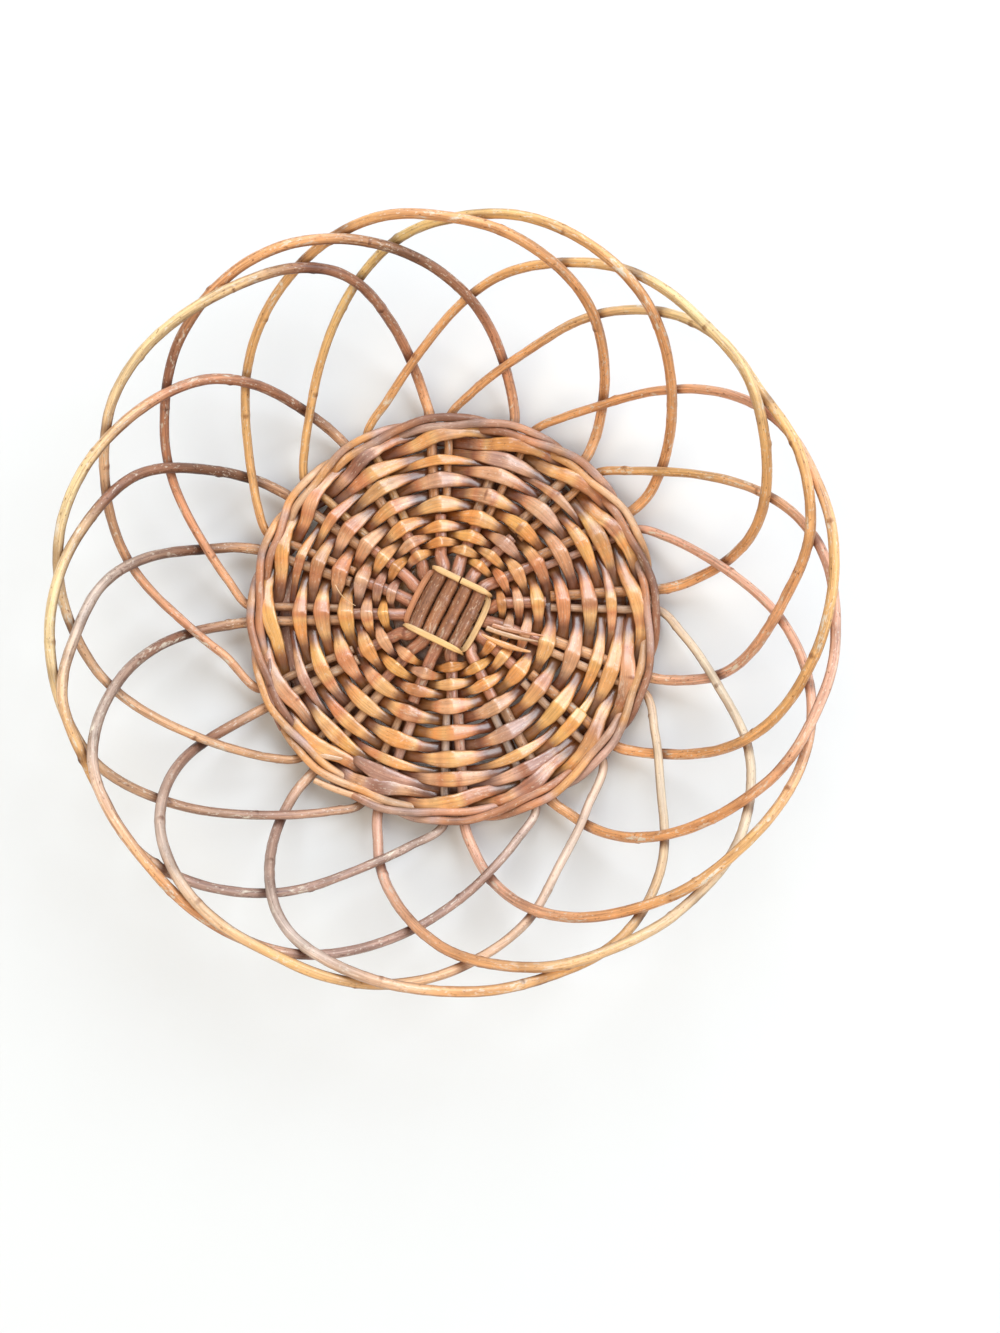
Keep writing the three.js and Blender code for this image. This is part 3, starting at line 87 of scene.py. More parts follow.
    [248.00,44.03,8.89, 248.35,59.68,8.32, 248.56,75.33,7.58, 248.69,92.23,6.60, 251.56,104.72,10.16, 253.71,112.92,15.52, 256.41,120.14,23.05, 259.53,126.23,32.13, 262.76,131.52,41.70, 265.95,136.33,49.64, 269.16,140.53,55.89, 272.43,143.82,61.31, 275.73,146.33,65.65, 278.99,148.41,69.40, 282.20,150.30,73.02, 285.37,151.93,75.93, 288.52,153.10,77.06, 291.66,153.83,77.00, 294.80,154.38,76.63, 297.92,155.01,76.39, 301.03,155.64,76.11, 304.14,156.03,75.34, 307.26,156.08,73.84, 310.40,155.92,72.03, 313.54,155.63,70.89, 316.70,155.07,69.93, 319.86,153.94,67.79, 323.03,152.01,64.20, 326.19,149.39,59.53, 329.38,146.28,54.24, 332.59,142.66,48.21, 335.73,138.17,42.19, 338.65,132.54,37.34, 341.55,126.40,32.06, 344.62,120.15,27.64, 348.05,114.13,22.85, 351.79,108.20,17.59, 355.66,102.01,13.53, 362.19,92.03,6.60, 362.98,75.16,7.58, 364.15,59.57,8.32, 366.14,44.01,8.89],
    [272.88,43.03,8.89, 273.04,59.04,8.32, 273.14,75.04,7.58, 273.18,92.32,6.60, 274.81,101.93,7.88, 276.77,110.58,12.92, 279.18,118.44,20.35, 282.07,125.10,30.02, 285.24,130.65,39.00, 288.54,135.26,45.41, 291.91,138.90,51.33, 295.30,141.83,56.44, 298.67,144.24,60.92, 301.99,146.35,65.00, 305.24,148.36,68.81, 308.44,150.20,72.63, 311.62,151.76,75.09, 314.81,152.98,76.03, 318.00,153.99,76.59, 321.16,155.01,77.13, 324.30,156.06,77.67, 327.43,156.97,77.88, 330.57,157.61,77.51, 333.74,157.91,76.24, 336.93,157.67,74.50, 340.13,156.79,72.52, 343.34,155.27,69.79, 346.57,153.10,65.81, 349.81,150.32,60.86, 353.06,146.95,55.15, 356.32,143.03,48.55, 359.50,138.34,42.83, 362.59,132.87,38.14, 365.71,127.02,33.13, 368.93,120.91,28.77, 372.40,114.87,23.64, 376.11,108.78,18.26, 379.92,102.36,14.01, 385.89,91.99,6.60, 386.69,75.61,7.58, 387.85,60.47,8.32, 389.78,45.37,8.89],
    [299.39,42.54,8.89, 298.88,58.71,8.32, 298.59,74.88,7.58, 298.38,92.34,6.60, 300.62,101.11,8.32, 302.76,109.19,13.15, 305.23,116.44,20.59, 308.06,122.63,28.54, 311.07,127.82,36.83, 314.16,132.28,43.71, 317.29,136.21,48.89, 320.39,139.67,54.02, 323.43,142.83,58.98, 326.43,145.70,63.77, 329.37,148.33,68.39, 332.29,150.64,72.60, 335.24,152.43,76.14, 338.24,153.77,77.96, 341.28,154.95,78.37, 344.30,156.10,78.90, 347.30,157.20,79.29, 350.33,157.97,78.99, 353.41,158.25,77.46, 356.50,158.08,76.02, 359.58,157.69,75.08, 362.68,157.12,74.07, 365.81,156.12,72.13, 368.95,154.36,68.79, 372.08,151.89,64.22, 375.17,148.68,58.57, 378.20,144.81,51.75, 381.10,140.09,45.73, 383.91,134.71,40.23, 386.70,128.95,34.59, 389.52,122.85,29.23, 392.41,116.47,24.43, 395.47,109.96,20.01, 398.83,103.54,15.28, 405.58,91.90,6.60, 406.58,75.95,7.58, 408.00,61.22,8.32, 410.31,46.55,8.89],
    [324.13,42.75,8.89, 322.93,58.88,8.32, 322.25,75.03,7.58, 321.76,92.48,6.60, 324.20,102.07,8.11, 326.54,109.98,12.60, 328.73,117.47,19.79, 330.86,124.39,29.06, 333.14,130.47,39.18, 335.68,135.65,47.88, 338.46,140.06,54.14, 341.36,143.54,59.94, 344.36,146.26,64.79, 347.37,148.49,69.00, 350.37,150.44,72.87, 353.35,152.12,76.53, 356.35,153.65,79.06, 359.39,155.06,80.42, 362.45,156.33,81.06, 365.51,157.41,81.35, 368.59,158.25,81.09, 371.72,158.72,80.06, 374.89,158.84,78.00, 378.05,158.57,76.28, 381.20,158.11,75.13, 384.37,157.41,73.79, 387.57,156.19,71.39, 390.75,154.13,67.92, 393.89,151.37,63.11, 396.97,147.91,57.24, 399.96,143.83,50.63, 402.90,139.26,43.37, 405.74,133.94,37.22, 408.51,127.99,32.23, 411.30,121.73,27.23, 414.17,115.16,22.91, 417.35,108.74,18.43, 420.98,102.59,14.22, 427.18,91.88,6.60, 428.17,76.38,7.58, 429.54,62.06,8.32, 431.74,47.79,8.89],
    [347.77,43.51,8.89, 345.49,59.39,8.32, 344.17,75.32,7.58, 343.24,92.55,6.60, 344.19,102.45,8.08, 345.47,111.23,13.54, 347.11,119.34,20.30, 349.57,125.70,28.78, 352.55,130.48,36.75, 355.64,134.29,44.59, 358.74,137.82,51.15, 361.78,141.40,56.45, 364.64,144.97,62.48, 367.44,148.26,68.37, 370.37,150.82,73.16, 373.44,152.55,76.48, 376.57,153.70,78.85, 379.78,154.77,79.73, 383.04,155.58,79.34, 386.36,155.77,77.74, 389.75,155.60,74.77, 393.12,155.42,72.72, 396.40,155.60,73.08, 399.65,156.14,73.75, 402.93,156.30,73.69, 406.26,155.67,72.25, 409.59,154.30,69.42, 412.91,152.25,65.41, 416.19,149.56,60.39, 419.42,146.31,54.68, 422.61,142.58,48.16, 425.64,137.87,42.38, 428.50,132.29,37.06, 431.32,126.28,31.60, 434.32,120.14,26.71, 437.64,114.00,22.79, 441.22,107.96,18.76, 444.96,101.80,14.53, 451.20,92.01,6.60, 451.78,76.88,7.58, 452.59,62.88,8.32, 453.87,48.90,8.89],
]


# ---------------------------------------------------------- layout of the base
def unit(deg):
    a = math.radians(deg)
    return np.array([math.cos(a), math.sin(a)])


def inner_angle(p):
    return 5.75 + 22.5 * p


def edge_angle(p):
    return (BUTT_ANGLE[p] + TIP_ANGLE[p]) / 2


def outward(r):
    return (r - LAYOUT_RADIUS) / (BASE_RADIUS - LAYOUT_RADIUS)


def spoke_point(p, r):
    f = outward(r)
    return HUB * (1 - f) + unit(inner_angle(p)) * LAYOUT_RADIUS * (1 - f) + unit(edge_angle(p)) * BASE_RADIUS * f


def row_centre(r):
    return HUB * (1 - outward(r))


def spoke_angle(p, r):
    d = spoke_point(p, r) - row_centre(r)
    return math.atan2(d[1], d[0])


def half_pair(p, r):
    if r < STICK_END - 0.8:
        return 0.0
    edge = math.radians(BUTT_ANGLE[p] - TIP_ANGLE[p]) / 2 * BASE_RADIUS
    return 2.5 + (edge - 2.5) * min(1.0, max(0.0, (r - 46) / (BASE_RADIUS - 46)))


def upper_layer(p):
    return p in (1, 2, 3, 4, 9, 10, 11, 12)


def base_height(r):
    return FLOOR_TO_SPOKES + DOME * (1 - (r / BASE_RADIUS) ** 2)


def spoke_height(p, r):
    f = min(1.0, max(0.0, (CROSS_MERGE - r) / (CROSS_MERGE - CROSS_STRAIGHT)))
    return base_height(r) + (1 if upper_layer(p) else -1) * LAYER * f


def beside(p, r, x, sway, z):
    """Point beside spoke p, x mm counter-clockwise of it, and the outward direction there."""
    c = row_centre(r)
    reach = np.linalg.norm(spoke_point(p, r) - c)
    a = spoke_angle(p, r) + x / reach
    e = np.array([math.cos(a), math.sin(a)])
    q = c + e * (reach + sway)
    return np.array([q[0], q[1], z]), np.array([e[0], e[1], 0.0])


def stride(p, r1, r2):
    q = (p + 1) % SPOKES
    r = (r1 + r2) / 2
    d = spoke_angle(q, r) - spoke_angle(p, r)
    while d < 0:
        d += 2 * math.pi
    c = row_centre(r)
    return d * (np.linalg.norm(spoke_point(p, r) - c) + np.linalg.norm(spoke_point(q, r) - c)) / 2


def row_radius(turn):
    k = min(len(ROW_RADII) - 2, max(0, math.floor(turn)))
    return ROW_RADII[k] + (ROW_RADII[k + 1] - ROW_RADII[k]) * (turn - k)


def row_pitch(turn):
    p = min(row_radius(turn) - row_radius(turn - 0.5), row_radius(turn + 0.5) - row_radius(turn))
    return max(p, 4.9) if turn > 5.3 else p


# ------------------------------------------------------------------- path tools
def noise1(x, period, seed):
    """Smooth random values from -1 to 1 along x, in mm."""
    g = np.random.default_rng(seed)
    lo = float(np.min(x))
    v = g.uniform(-1, 1, int((float(np.max(x)) - lo) / period) + 4)
    u = (np.asarray(x) - lo) / period
    i = np.floor(u).astype(int)
    f = u - i
    f = f * f * (3 - 2 * f)
    return v[i] * (1 - f) + v[i + 1] * f


def through(points, step=0.8):
    """A smooth curve through the points, and the point number at each of its steps."""
    P = np.asarray(points, float)
    n = len(P)
    d = np.maximum(np.linalg.norm(np.diff(P, axis=0), axis=1), 1e-6)
    h = d**0.5
    v = np.diff(P, axis=0) / h[:, None]
    m = np.zeros_like(P)
    m[0], m[-1] = v[0], v[-1]
    for i in range(1, n - 1):
        m[i] = (v[i] * h[i - 1] + v[i - 1] * h[i]) / (h[i] + h[i - 1])
    out, number = [], []
    for i in range(n - 1):
        k = max(2, int(math.ceil(d[i] / step)))
        t = np.arange(k) / k
        a, b = (2 * t**3 - 3 * t**2 + 1), (t**3 - 2 * t**2 + t) * h[i]
        c, e = (-2 * t**3 + 3 * t**2), (t**3 - t**2) * h[i]
        out.append(a[:, None] * P[i] + b[:, None] * m[i] + c[:, None] * P[i + 1] + e[:, None] * m[i + 1])
        number.append(i + t)
    out.append(P[-1:])
    number.append(np.array([n - 1.0]))
    return np.concatenate(out), np.concatenate(number)


def lengths(path):
    return np.concatenate([[0.0], np.cumsum(np.linalg.norm(np.diff(path, axis=0), axis=1))])


def even(path, step, *channels):
    """The path again in even steps, with the channels carried along."""
    s = lengths(path)
    k = max(2, int(round(s[-1] / step)))
    t = np.linspace(0, s[-1], k + 1)
    new = np.stack([np.interp(t, s, path[:, c]) for c in range(3)], 1)
    carried = []
    for ch in channels:
        ch = np.asarray(ch, float)
        if ch.ndim == 1:
            carried.append(np.interp(t, s, ch))
        else:
            carried.append(np.stack([np.interp(t, s, ch[:, c]) for c in range(ch.shape[1])], 1))
    return (new, *carried)


def rounded(path, width, step):
    """Corners worn round: a moving mean over width, with both ends held."""
    k = max(1, int(round(width / step / 2)))
    a = np.concatenate([2 * path[0] - path[k:0:-1], path, 2 * path[-1] - path[-2 : -k - 2 : -1]])
    c = np.cumsum(np.concatenate([np.zeros((1, 3)), a]), axis=0)
    return (c[2 * k + 1 :] - c[: -2 * k - 1]) / (2 * k + 1)


# ---------------------------------------------------------------- willow tones
def linear(rgb):
    c = np.array(rgb, float) / 255
    return np.where(c <= 0.04045, c / 12.92, ((c + 0.055) / 1.055) ** 2.4)


TONES = {
    "gold": linear((222, 168, 92)),
    "yellow": linear((232, 196, 112)),
    "straw": linear((232, 202, 140)),
    "amber": linear((210, 146, 80)),
    "orange": linear((198, 120, 62)),
    "russet": linear((170, 98, 62)),
    "brown": linear((132, 84, 54)),
    "umber": linear((96, 64, 48)),
    "tan": linear((186, 142, 100)),
    "rose": linear((200, 148, 120)),
    "mauve": linear((150, 116, 100)),
    "ash": linear((178, 158, 144)),
    "bone": linear((230, 208, 176)),
    "bark": linear((112, 78, 58)),
    "leaf": linear((224, 154, 66)),
    "honey": linear((206, 128, 56)),
    "copper": linear((186, 100, 52)),
    "wheat": linear((226, 178, 104)),
    "ochre": linear((212, 150, 84)),
    "fawn": linear((208, 166, 128)),
    "caramel": linear((186, 124, 82)),
    "lilac": linear((178, 142, 128)),
    "cocoa": linear((150, 102, 78)),
    "sand": linear((218, 176, 118)),
    "walnut": linear((110, 70, 42)),
    "oak": linear((124, 82, 54)),
}


def lift(tint, gain, pale=0.0):
    """Lighter tones, drawn towards grey by pale."""
    grey = (tint @ np.array([0.3, 0.59, 0.11]))[:, None]
    t = (tint + (grey - tint) * pale) * gain
    return np.clip(t * np.minimum(1, 0.86 / t.max(axis=1))[:, None], 0.01, 0.9)


def tone_ramp(names, at, x):
    """Blend of named tones along x."""
    table = np.array([TONES[n] for n in names])
    return np.stack([np.interp(x, at, table[:, c]) for c in range(3)], 1)


# ----------------------------------------------------------------- swept rods
SHIFTS = {}


def frames(path, side):
    t = np.gradient(path, axis=0)
    t /= np.linalg.norm(t, axis=1)[:, None]
    if side is not None:
        s = side - t * np.sum(side * t, axis=1)[:, None]
        s /= np.linalg.norm(s, axis=1)[:, None]
    else:
        s = np.zeros_like(path)
        a = np.array([-t[0][1], t[0][0], 0.0])
        if np.linalg.norm(a) < 1e-6:
            a = np.array([1.0, 0, 0])
        for i in range(len(path)):
            a = a - t[i] * np.dot(a, t[i])
            a /= np.linalg.norm(a)
            s[i] = a
    return t, s, np.cross(t, s)


def rod(name, path, half_w, half_t, tint, side=None, sides=16, square=2.0, seed=0, rough=0.03, knots=(), ends=("cut", "cut"), dark=None, under=0.0, edge=0.0, brim=0.45):
    """A closed rod or strip swept along path (mm, even steps) and returned as an object.
    half_w and half_t are half sizes at each step, tint the colour there."""
    n = len(path)
    half_w = np.broadcast_to(np.asarray(half_w, float), (n,)).copy()
    half_t = np.broadcast_to(np.asarray(half_t, float), (n,)).copy()
    t, s, nn = frames(path, side)
    along = lengths(path)
    g = np.random.default_rng(seed)
    for which, style in enumerate(ends):
        q = along if which == 0 else along[-1] - along
        if style == "point":
            f = np.clip(q / 13.0, 0, 1) ** 0.75
            half_w *= 0.22 + 0.78 * f
            half_t *= 0.2 + 0.8 * f
        elif style == "slype":
            f = np.clip(q / 9.0, 0, 1)
            half_t *= 0.25 + 0.75 * f
            half_w *= 0.7 + 0.3 * f
    theta = np.arange(sides) / sides * 2 * math.pi + math.pi / sides
    cx, cy = np.cos(theta), np.sin(theta)
    X = np.sign(cx) * np.abs(cx) ** (2 / square)
    Y = np.sign(cy) * np.abs(cy) ** (2 / square)
    swell = np.ones((n, sides))
    for _ in range(7):
        m, wave, phase = g.integers(0, 4), g.uniform(5, 38), g.uniform(0, 2 * math.pi, 2)
        swell += rough * g.uniform(0.25, 0.7) * np.cos(m * theta[None, :] + phase[0]) * np.cos(2 * math.pi * along[:, None] / wave + phase[1])
    mark = np.zeros((n, sides))
    for at, angle, size in knots:
        turn = (theta[None, :] - angle + math.pi) % (2 * math.pi) - math.pi
        lump = np.exp(-(((along[:, None] - at) / (1.3 * size)) ** 2)) * np.exp(-((turn / 0.75) ** 2))
        ring = np.exp(-(((along[:, None] - at) / (1.1 * size)) ** 2))
        swell += 0.16 * size * lump + 0.045 * size * ring
        mark = np.maximum(mark, np.maximum(lump, 0.35 * ring))
    U = swell * half_w[:, None] * X[None, :]
    V = swell * half_t[:, None] * Y[None, :]
    places = path[:, None, :] + U[:, :, None] * s[:, None, :] + V[:, :, None] * nn[:, None, :]
    verts = places.reshape(-1, 3)
    # straight coordinates: length, and the place in the section
    shift = (SHIFTS.setdefault("next", 0)) * 1.37
    SHIFTS["next"] += 1
    straight = np.stack([np.broadcast_to(along[:, None], (n, sides)), U, V], 2).reshape(-1, 3)
    colours = np.repeat(np.asarray(tint), sides, axis=0)
    marks = mark.reshape(-1)
    shade = np.zeros(n) if dark is None else np.asarray(dark, float)
    # painted shade: besides the dark passed in, under darkens the faces that turn away from straight up past brim, edge
    # darkens the two sides of a strip, and faces that look down get less of both
    facing = (X[None, :] / half_w[:, None])[:, :, None] * s[:, None, :] + (Y[None, :] / half_t[:, None])[:, :, None] * nn[:, None, :]
    facing /= np.linalg.norm(facing, axis=2)[:, :, None]
    low = np.clip((brim - facing[:, :, 2]) / 0.9, 0, 1) * under
    less_shade_facing_down = 1 - 0.68 * np.clip((-0.15 - facing[:, :, 2]) / 0.55, 0, 1)
    low = low + edge * np.clip((np.abs(cx) - 0.8) / 0.17, 0, 1)[None, :]
    shades = np.clip((shade[:, None] + low) * less_shade_facing_down, 0, 1).reshape(-1)
    # ends: an inset ring and a middle point at each
    extra_v, extra_s, extra_c, extra_m, extra_d = [], [], [], [], []
    faces = []
    idx = np.arange(n * sides).reshape(n, sides)
    nxt = np.roll(idx, -1, axis=1)
    quads = np.stack([idx[:-1], nxt[:-1], nxt[1:], idx[1:]], -1).reshape(-1, 4)
    faces.extend(quads.tolist())
    count = n * sides
    for which in (0, 1):
        i = 0 if which == 0 else n - 1
        push = t[i] * (-1 if which == 0 else 1)
        bevel = 0.12 * min(half_w[i], half_t[i])
        ring = path[i] + (U[i][:, None] * s[i] + V[i][:, None] * nn[i]) * 0.9 + push * bevel
        extra_v.append(ring)
        extra_v.append((path[i] + push * bevel * 1.15)[None])
        st = straight.reshape(n, sides, 3)[i]
        extra_s.append(np.concatenate([st * [1, 0.9, 0.9] + [bevel * (-1 if which == 0 else 1), 0, 0], [[along[i] + bevel * (-1 if which == 0 else 1), 0, 0]]]))
        extra_c.append(np.repeat(np.asarray(tint)[i][None], sides + 1, axis=0))
        extra_m.append(np.zeros(sides + 1))
        extra_d.append(np.full(sides + 1, shade[i]))
        first = count
        for k in range(sides):
            k2 = (k + 1) % sides
            a, b = idx[i][k], idx[i][k2]
            c, d = first + k2, first + k
            mid = first + sides
            if which == 0:
                faces.append([int(b), int(a), d, c])
                faces.append([c, d, mid])
            else:
                faces.append([int(a), int(b), c, d])
                faces.append([d, c, mid])
        count += sides + 1
    V_all = np.concatenate([verts] + extra_v)
    S_all = np.concatenate([straight] + extra_s)
    C_all = np.concatenate([colours] + extra_c)
    M_all = np.concatenate([marks] + extra_m)
    D_all = np.concatenate([shades] + extra_d)
    mesh = bpy.data.meshes.new(name)
    mesh.from_pydata(((V_all + CENTRE_SHIFT) * 0.001).tolist(), [], faces)
    S_all = S_all * 0.001
    S_all[:, 0] += shift
    mesh.attributes.new("rod_co", "FLOAT_VECTOR", "POINT").data.foreach_set("vector", S_all.astype(np.float32).ravel())
    rgba = np.concatenate([C_all, np.ones((len(C_all), 1))], 1)
    mesh.attributes.new("tint", "FLOAT_COLOR", "POINT").data.foreach_set("color", rgba.astype(np.float32).ravel())
    mesh.attributes.new("knot", "FLOAT", "POINT").data.foreach_set("value", M_all.astype(np.float32))
    mesh.attributes.new("dark", "FLOAT", "POINT").data.foreach_set("value", D_all.astype(np.float32))
    mesh.polygons.foreach_set("use_smooth", np.ones(len(mesh.polygons), bool))
    unwrap(mesh, n, sides, along[-1], 2 * math.pi * float(np.mean((half_w + half_t) / 2)))
    mesh.validate(clean_customdata=False)
    mesh.update()
    obj = bpy.data.objects.new(name, mesh)
    bpy.context.scene.collection.objects.link(obj)
    return obj


def unwrap(mesh, n, sides, length, girth):
    """The rod's skin laid out flat in rows that fill a square, the two ends above them."""
    rows = max(1, int(round(math.sqrt(length / girth))))
    per = int(math.ceil((n - 1) / rows))
    rows = int(math.ceil((n - 1) / per))
    i, k = np.meshgrid(np.arange(n - 1), np.arange(sides), indexing="ij")
    row, local = i // per, i % per
    u0, u1 = 0.01 + 0.98 * local / per, 0.01 + 0.98 * (local + 1) / per
    high = 1.0 / (rows + 0.6)
    v0 = (row + 0.06 + 0.88 * k / sides) * high
    v1 = (row + 0.06 + 0.88 * (k + 1) / sides) * high
    body = np.stack([np.stack([u0, v0], -1), np.stack([u0, v1], -1), np.stack([u1, v1], -1), np.stack([u1, v0], -1)], 2).reshape(-1, 2)
    parts = [body]
    for which in (0, 1):
        centre = np.array([0.1 + 0.3 * which, (rows + 0.3) * high])
        rad = np.array([0.06, 0.2 * high])
        ang = np.arange(sides) / sides * 2 * math.pi
        outer = centre + np.stack([np.cos(ang), np.sin(ang)], 1) * rad
        inner = centre + np.stack([np.cos(ang), np.sin(ang)], 1) * rad * 0.8
        end = []
        for q in range(sides):
            w = (q + 1) % sides
            if which == 0:
                end += [outer[w], outer[q], inner[q], inner[w], inner[w], inner[q], centre]
            else:
                end += [outer[q], outer[w], inner[w], inner[q], inner[q], inner[w], centre]
        parts.append(np.array(end))
    uv = np.concatenate(parts)
    layer = mesh.uv_layers.new(name="OFBake")
    if len(uv) == len(layer.data):
        layer.data.foreach_set("uv", uv.astype(np.float32).ravel())


def settle(obj, material, slot, *nodes):
    obj.data.materials.append(material)
    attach(obj, "root")
    if nodes:
        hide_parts(*nodes)
    return obj


def knots_along(length, seed, gap=(34, 74), size=(0.6, 1.15)):
    g = np.random.default_rng(seed)
    out, at = [], g.uniform(8, gap[1])
    while at < length - 6:
        out.append((at, g.uniform(0, 2 * math.pi), g.uniform(*size)))
        at += g.uniform(*gap)
    return out


# ------------------------------------------------------------------- materials
def willow(name, streak=0.5, speck=0.5, worn=0.25, gloss=0.36, coat=0.25, grain=1.0, relief=0.5, pale=(0.86, 0.72, 0.56)):
    m = bpy.data.materials.new(name)
    m.use_nodes = True
    nt = m.node_tree
    N, L = nt.nodes, nt.links
    N.clear()
    out = N.new("ShaderNodeOutputMaterial")
    bsdf = N.new("ShaderNodeBsdfPrincipled")
    L.new(bsdf.outputs[0], out.inputs[0])
    bsdf.inputs["Metallic"].default_value = 0.0
    bsdf.inputs["IOR"].default_value = 1.5
    bsdf.inputs["Specular IOR Level"].default_value = 0.55
    bsdf.inputs["Coat Weight"].default_value = coat
    bsdf.inputs["Coat Roughness"].default_value = 0.25
    bsdf.inputs["Coat IOR"].default_value = 1.7

    def attribute(which, socket):
        a = N.new("ShaderNodeAttribute")
        a.attribute_type = "GEOMETRY"
        a.attribute_name = which
        return a.outputs[socket]

    def math_(op, a, b=None, c=None, clamp=False):
        q = N.new("ShaderNodeMath")
        q.operation = op
        q.use_clamp = clamp
        for i, v in enumerate((a, b, c)):
            if v is None:
                continue
            if isinstance(v, (int, float)):
                q.inputs[i].default_value = v
            else:
                L.new(v, q.inputs[i])
        return q.outputs[0]

    def noise(scale, detail=3.0, roughness=0.55, offset=(0, 0, 0), distortion=0.0):
        mp = N.new("ShaderNodeMapping")
        mp.inputs["Scale"].default_value = scale
        mp.inputs["Location"].default_value = offset
        L.new(co, mp.inputs["Vector"])
        q = N.new("ShaderNodeTexNoise")
        q.inputs["Scale"].default_value = 1.0
        q.inputs["Detail"].default_value = detail
        q.inputs["Roughness"].default_value = roughness
        q.inputs["Distortion"].default_value = distortion
        L.new(mp.outputs[0], q.inputs["Vector"])
        return q.outputs["Fac"]

    def step(x, lo, hi):
        q = N.new("ShaderNodeMapRange")
        q.interpolation_type = "SMOOTHSTEP"
        q.inputs["From Min"].default_value = lo
        q.inputs["From Max"].default_value = hi
        L.new(x, q.inputs["Value"])
        return q.outputs["Result"]

    def mix(fac, a, b, blend="MIX"):
        q = N.new("ShaderNodeMix")
        q.data_type = "RGBA"
        q.blend_type = blend
        for sock, v in ((q.inputs["Factor"], fac), (q.inputs["A"], a), (q.inputs["B"], b)):
            pass
        if isinstance(fac, (int, float)):
            q.inputs[0].default_value = fac
        else:
            L.new(fac, q.inputs[0])
        for i, v in ((6, a), (7, b)):
            if isinstance(v, tuple):
                q.inputs[i].default_value = (*v, 1.0)
            else:
                L.new(v, q.inputs[i])
        return q.outputs[2]

    co = attribute("rod_co", "Vector")
    tint = attribute("tint", "Color")
    knot = attribute("knot", "Fac")
    dark = attribute("dark", "Fac")

    streaks = noise((30 * grain, 900 * grain, 900 * grain), 4.0, 0.6)
    fibres = noise((95 * grain, 3000 * grain, 3000 * grain), 3.0, 0.65, (3.1, 0, 0))
    patches = noise((55, 210, 210), 3.0, 0.6, (7.7, 1, 0), 0.4)
    specks = noise((520, 1150, 1150), 2.0, 0.5, (1.3, 0, 5))
    scars = noise((240, 620, 620), 4.0, 0.7, (9.2, 4, 2), 0.6)
    ripple = noise((700, 260, 260), 2.0, 0.5, (2.2, 8, 3))

    # long streaks of lighter and darker skin
    lo = mix(math_("MULTIPLY", step(streaks, 0.28, 0.72), streak), tint, (1.25, 1.2, 1.12), "MULTIPLY")
    shade = mix(math_("MULTIPLY", step(streaks, 0.62, 0.3), streak * 0.8), lo, (0.62, 0.52, 0.47), "MULTIPLY")
    fine = mix(math_("MULTIPLY", step(fibres, 0.56, 0.34), streak * 0.55), shade, (0.66, 0.58, 0.52), "MULTIPLY")
    # skin worn off to paler wood
    wear = math_("MULTIPLY", math_("MULTIPLY", step(patches, 0.56, 0.68), step(scars, 0.45, 0.6)), worn)
    rubbed = mix(wear, fine, pale)
    # dark scars and small pores
    pores = math_("MULTIPLY", step(specks, 0.63, 0.74), speck)
    pored = mix(pores, rubbed, (0.42, 0.3, 0.24), "MULTIPLY")
    glints = math_("MULTIPLY", step(specks, 0.4, 0.31), speck * 0.7)
    glinted = mix(glints, pored, pale)
    scarred = mix(math_("MULTIPLY", step(scars, 0.66, 0.76), speck * 0.9), glinted, (0.4, 0.27, 0.2), "MULTIPLY")
    # knots, and the dark attribute: painted shadow at crossings and painted shade on sides, undersides, under-strokes
    # and inside the base
    knotted = mix(math_("MULTIPLY", step(knot, 0.15, 0.9), 0.75), scarred, (0.34, 0.2, 0.13), "MULTIPLY")
    final = mix(dark, knotted, (0.2, 0.11, 0.07), "MULTIPLY")
    L.new(final, bsdf.inputs["Base Color"])

    # duller where the skin is off, glossier along the streaks
    r = math_("MULTIPLY_ADD", patches, 0.22, gloss - 0.11)
    r = math_("MULTIPLY_ADD", fibres, 0.16, r)
    r = math_("MULTIPLY_ADD", wear, 0.25, r)
    r = math_("MULTIPLY_ADD", knot, 0.2, r, clamp=True)
    L.new(r, bsdf.inputs["Roughness"])

    # relief: fibres along the rod, ripples of bark across it, pores and scars
    h = math_("MULTIPLY", fibres, 0.45)
    h = math_("MULTIPLY_ADD", streaks, 0.9, h)
    h = math_("MULTIPLY_ADD", ripple, 0.5, h)
    h = math_("MULTIPLY_ADD", pores, -0.6, h)
    h = math_("MULTIPLY_ADD", step(scars, 0.6, 0.78), -0.7, h)
    bump = N.new("ShaderNodeBump")
    bump.inputs["Strength"].default_value = relief
    bump.inputs["Distance"].default_value = 0.0003
    L.new(h, bump.inputs["Height"])
    L.new(bump.outputs[0], bsdf.inputs["Normal"])
    return m


ARCH = willow("arch_willow", streak=1.0, speck=0.9, worn=1.3, gloss=0.42, coat=0.2, relief=0.6, pale=(0.86, 0.75, 0.6))
PALE_ARCH = willow("pale_arch_willow", streak=0.75, speck=0.6, worn=0.7, gloss=0.42, coat=0.2, relief=0.6, pale=(0.86, 0.76, 0.63))
GOLDEN = willow("golden_weaver_willow", streak=0.6, speck=0.4, worn=0.25, gloss=0.32, coat=1.0, relief=0.35)
MAUVE = willow("mauve_weaver_willow", streak=0.65, speck=0.5, worn=0.35, gloss=0.33, coat=1.0, relief=0.38)
WALE = willow("wale_willow", streak=0.6, speck=0.5, worn=0.4, gloss=0.38, coat=0.25, relief=0.5)
STICK = willow("base_stick_willow", streak=1.0, speck=0.7, worn=0.7, gloss=0.38, coat=0.8, grain=0.6, relief=0.9, pale=(0.78, 0.56, 0.38))
TIE = willow("tie_willow", streak=0.55, speck=0.2, worn=0.2, gloss=0.42, coat=0.15, grain=1.3, relief=0.4)
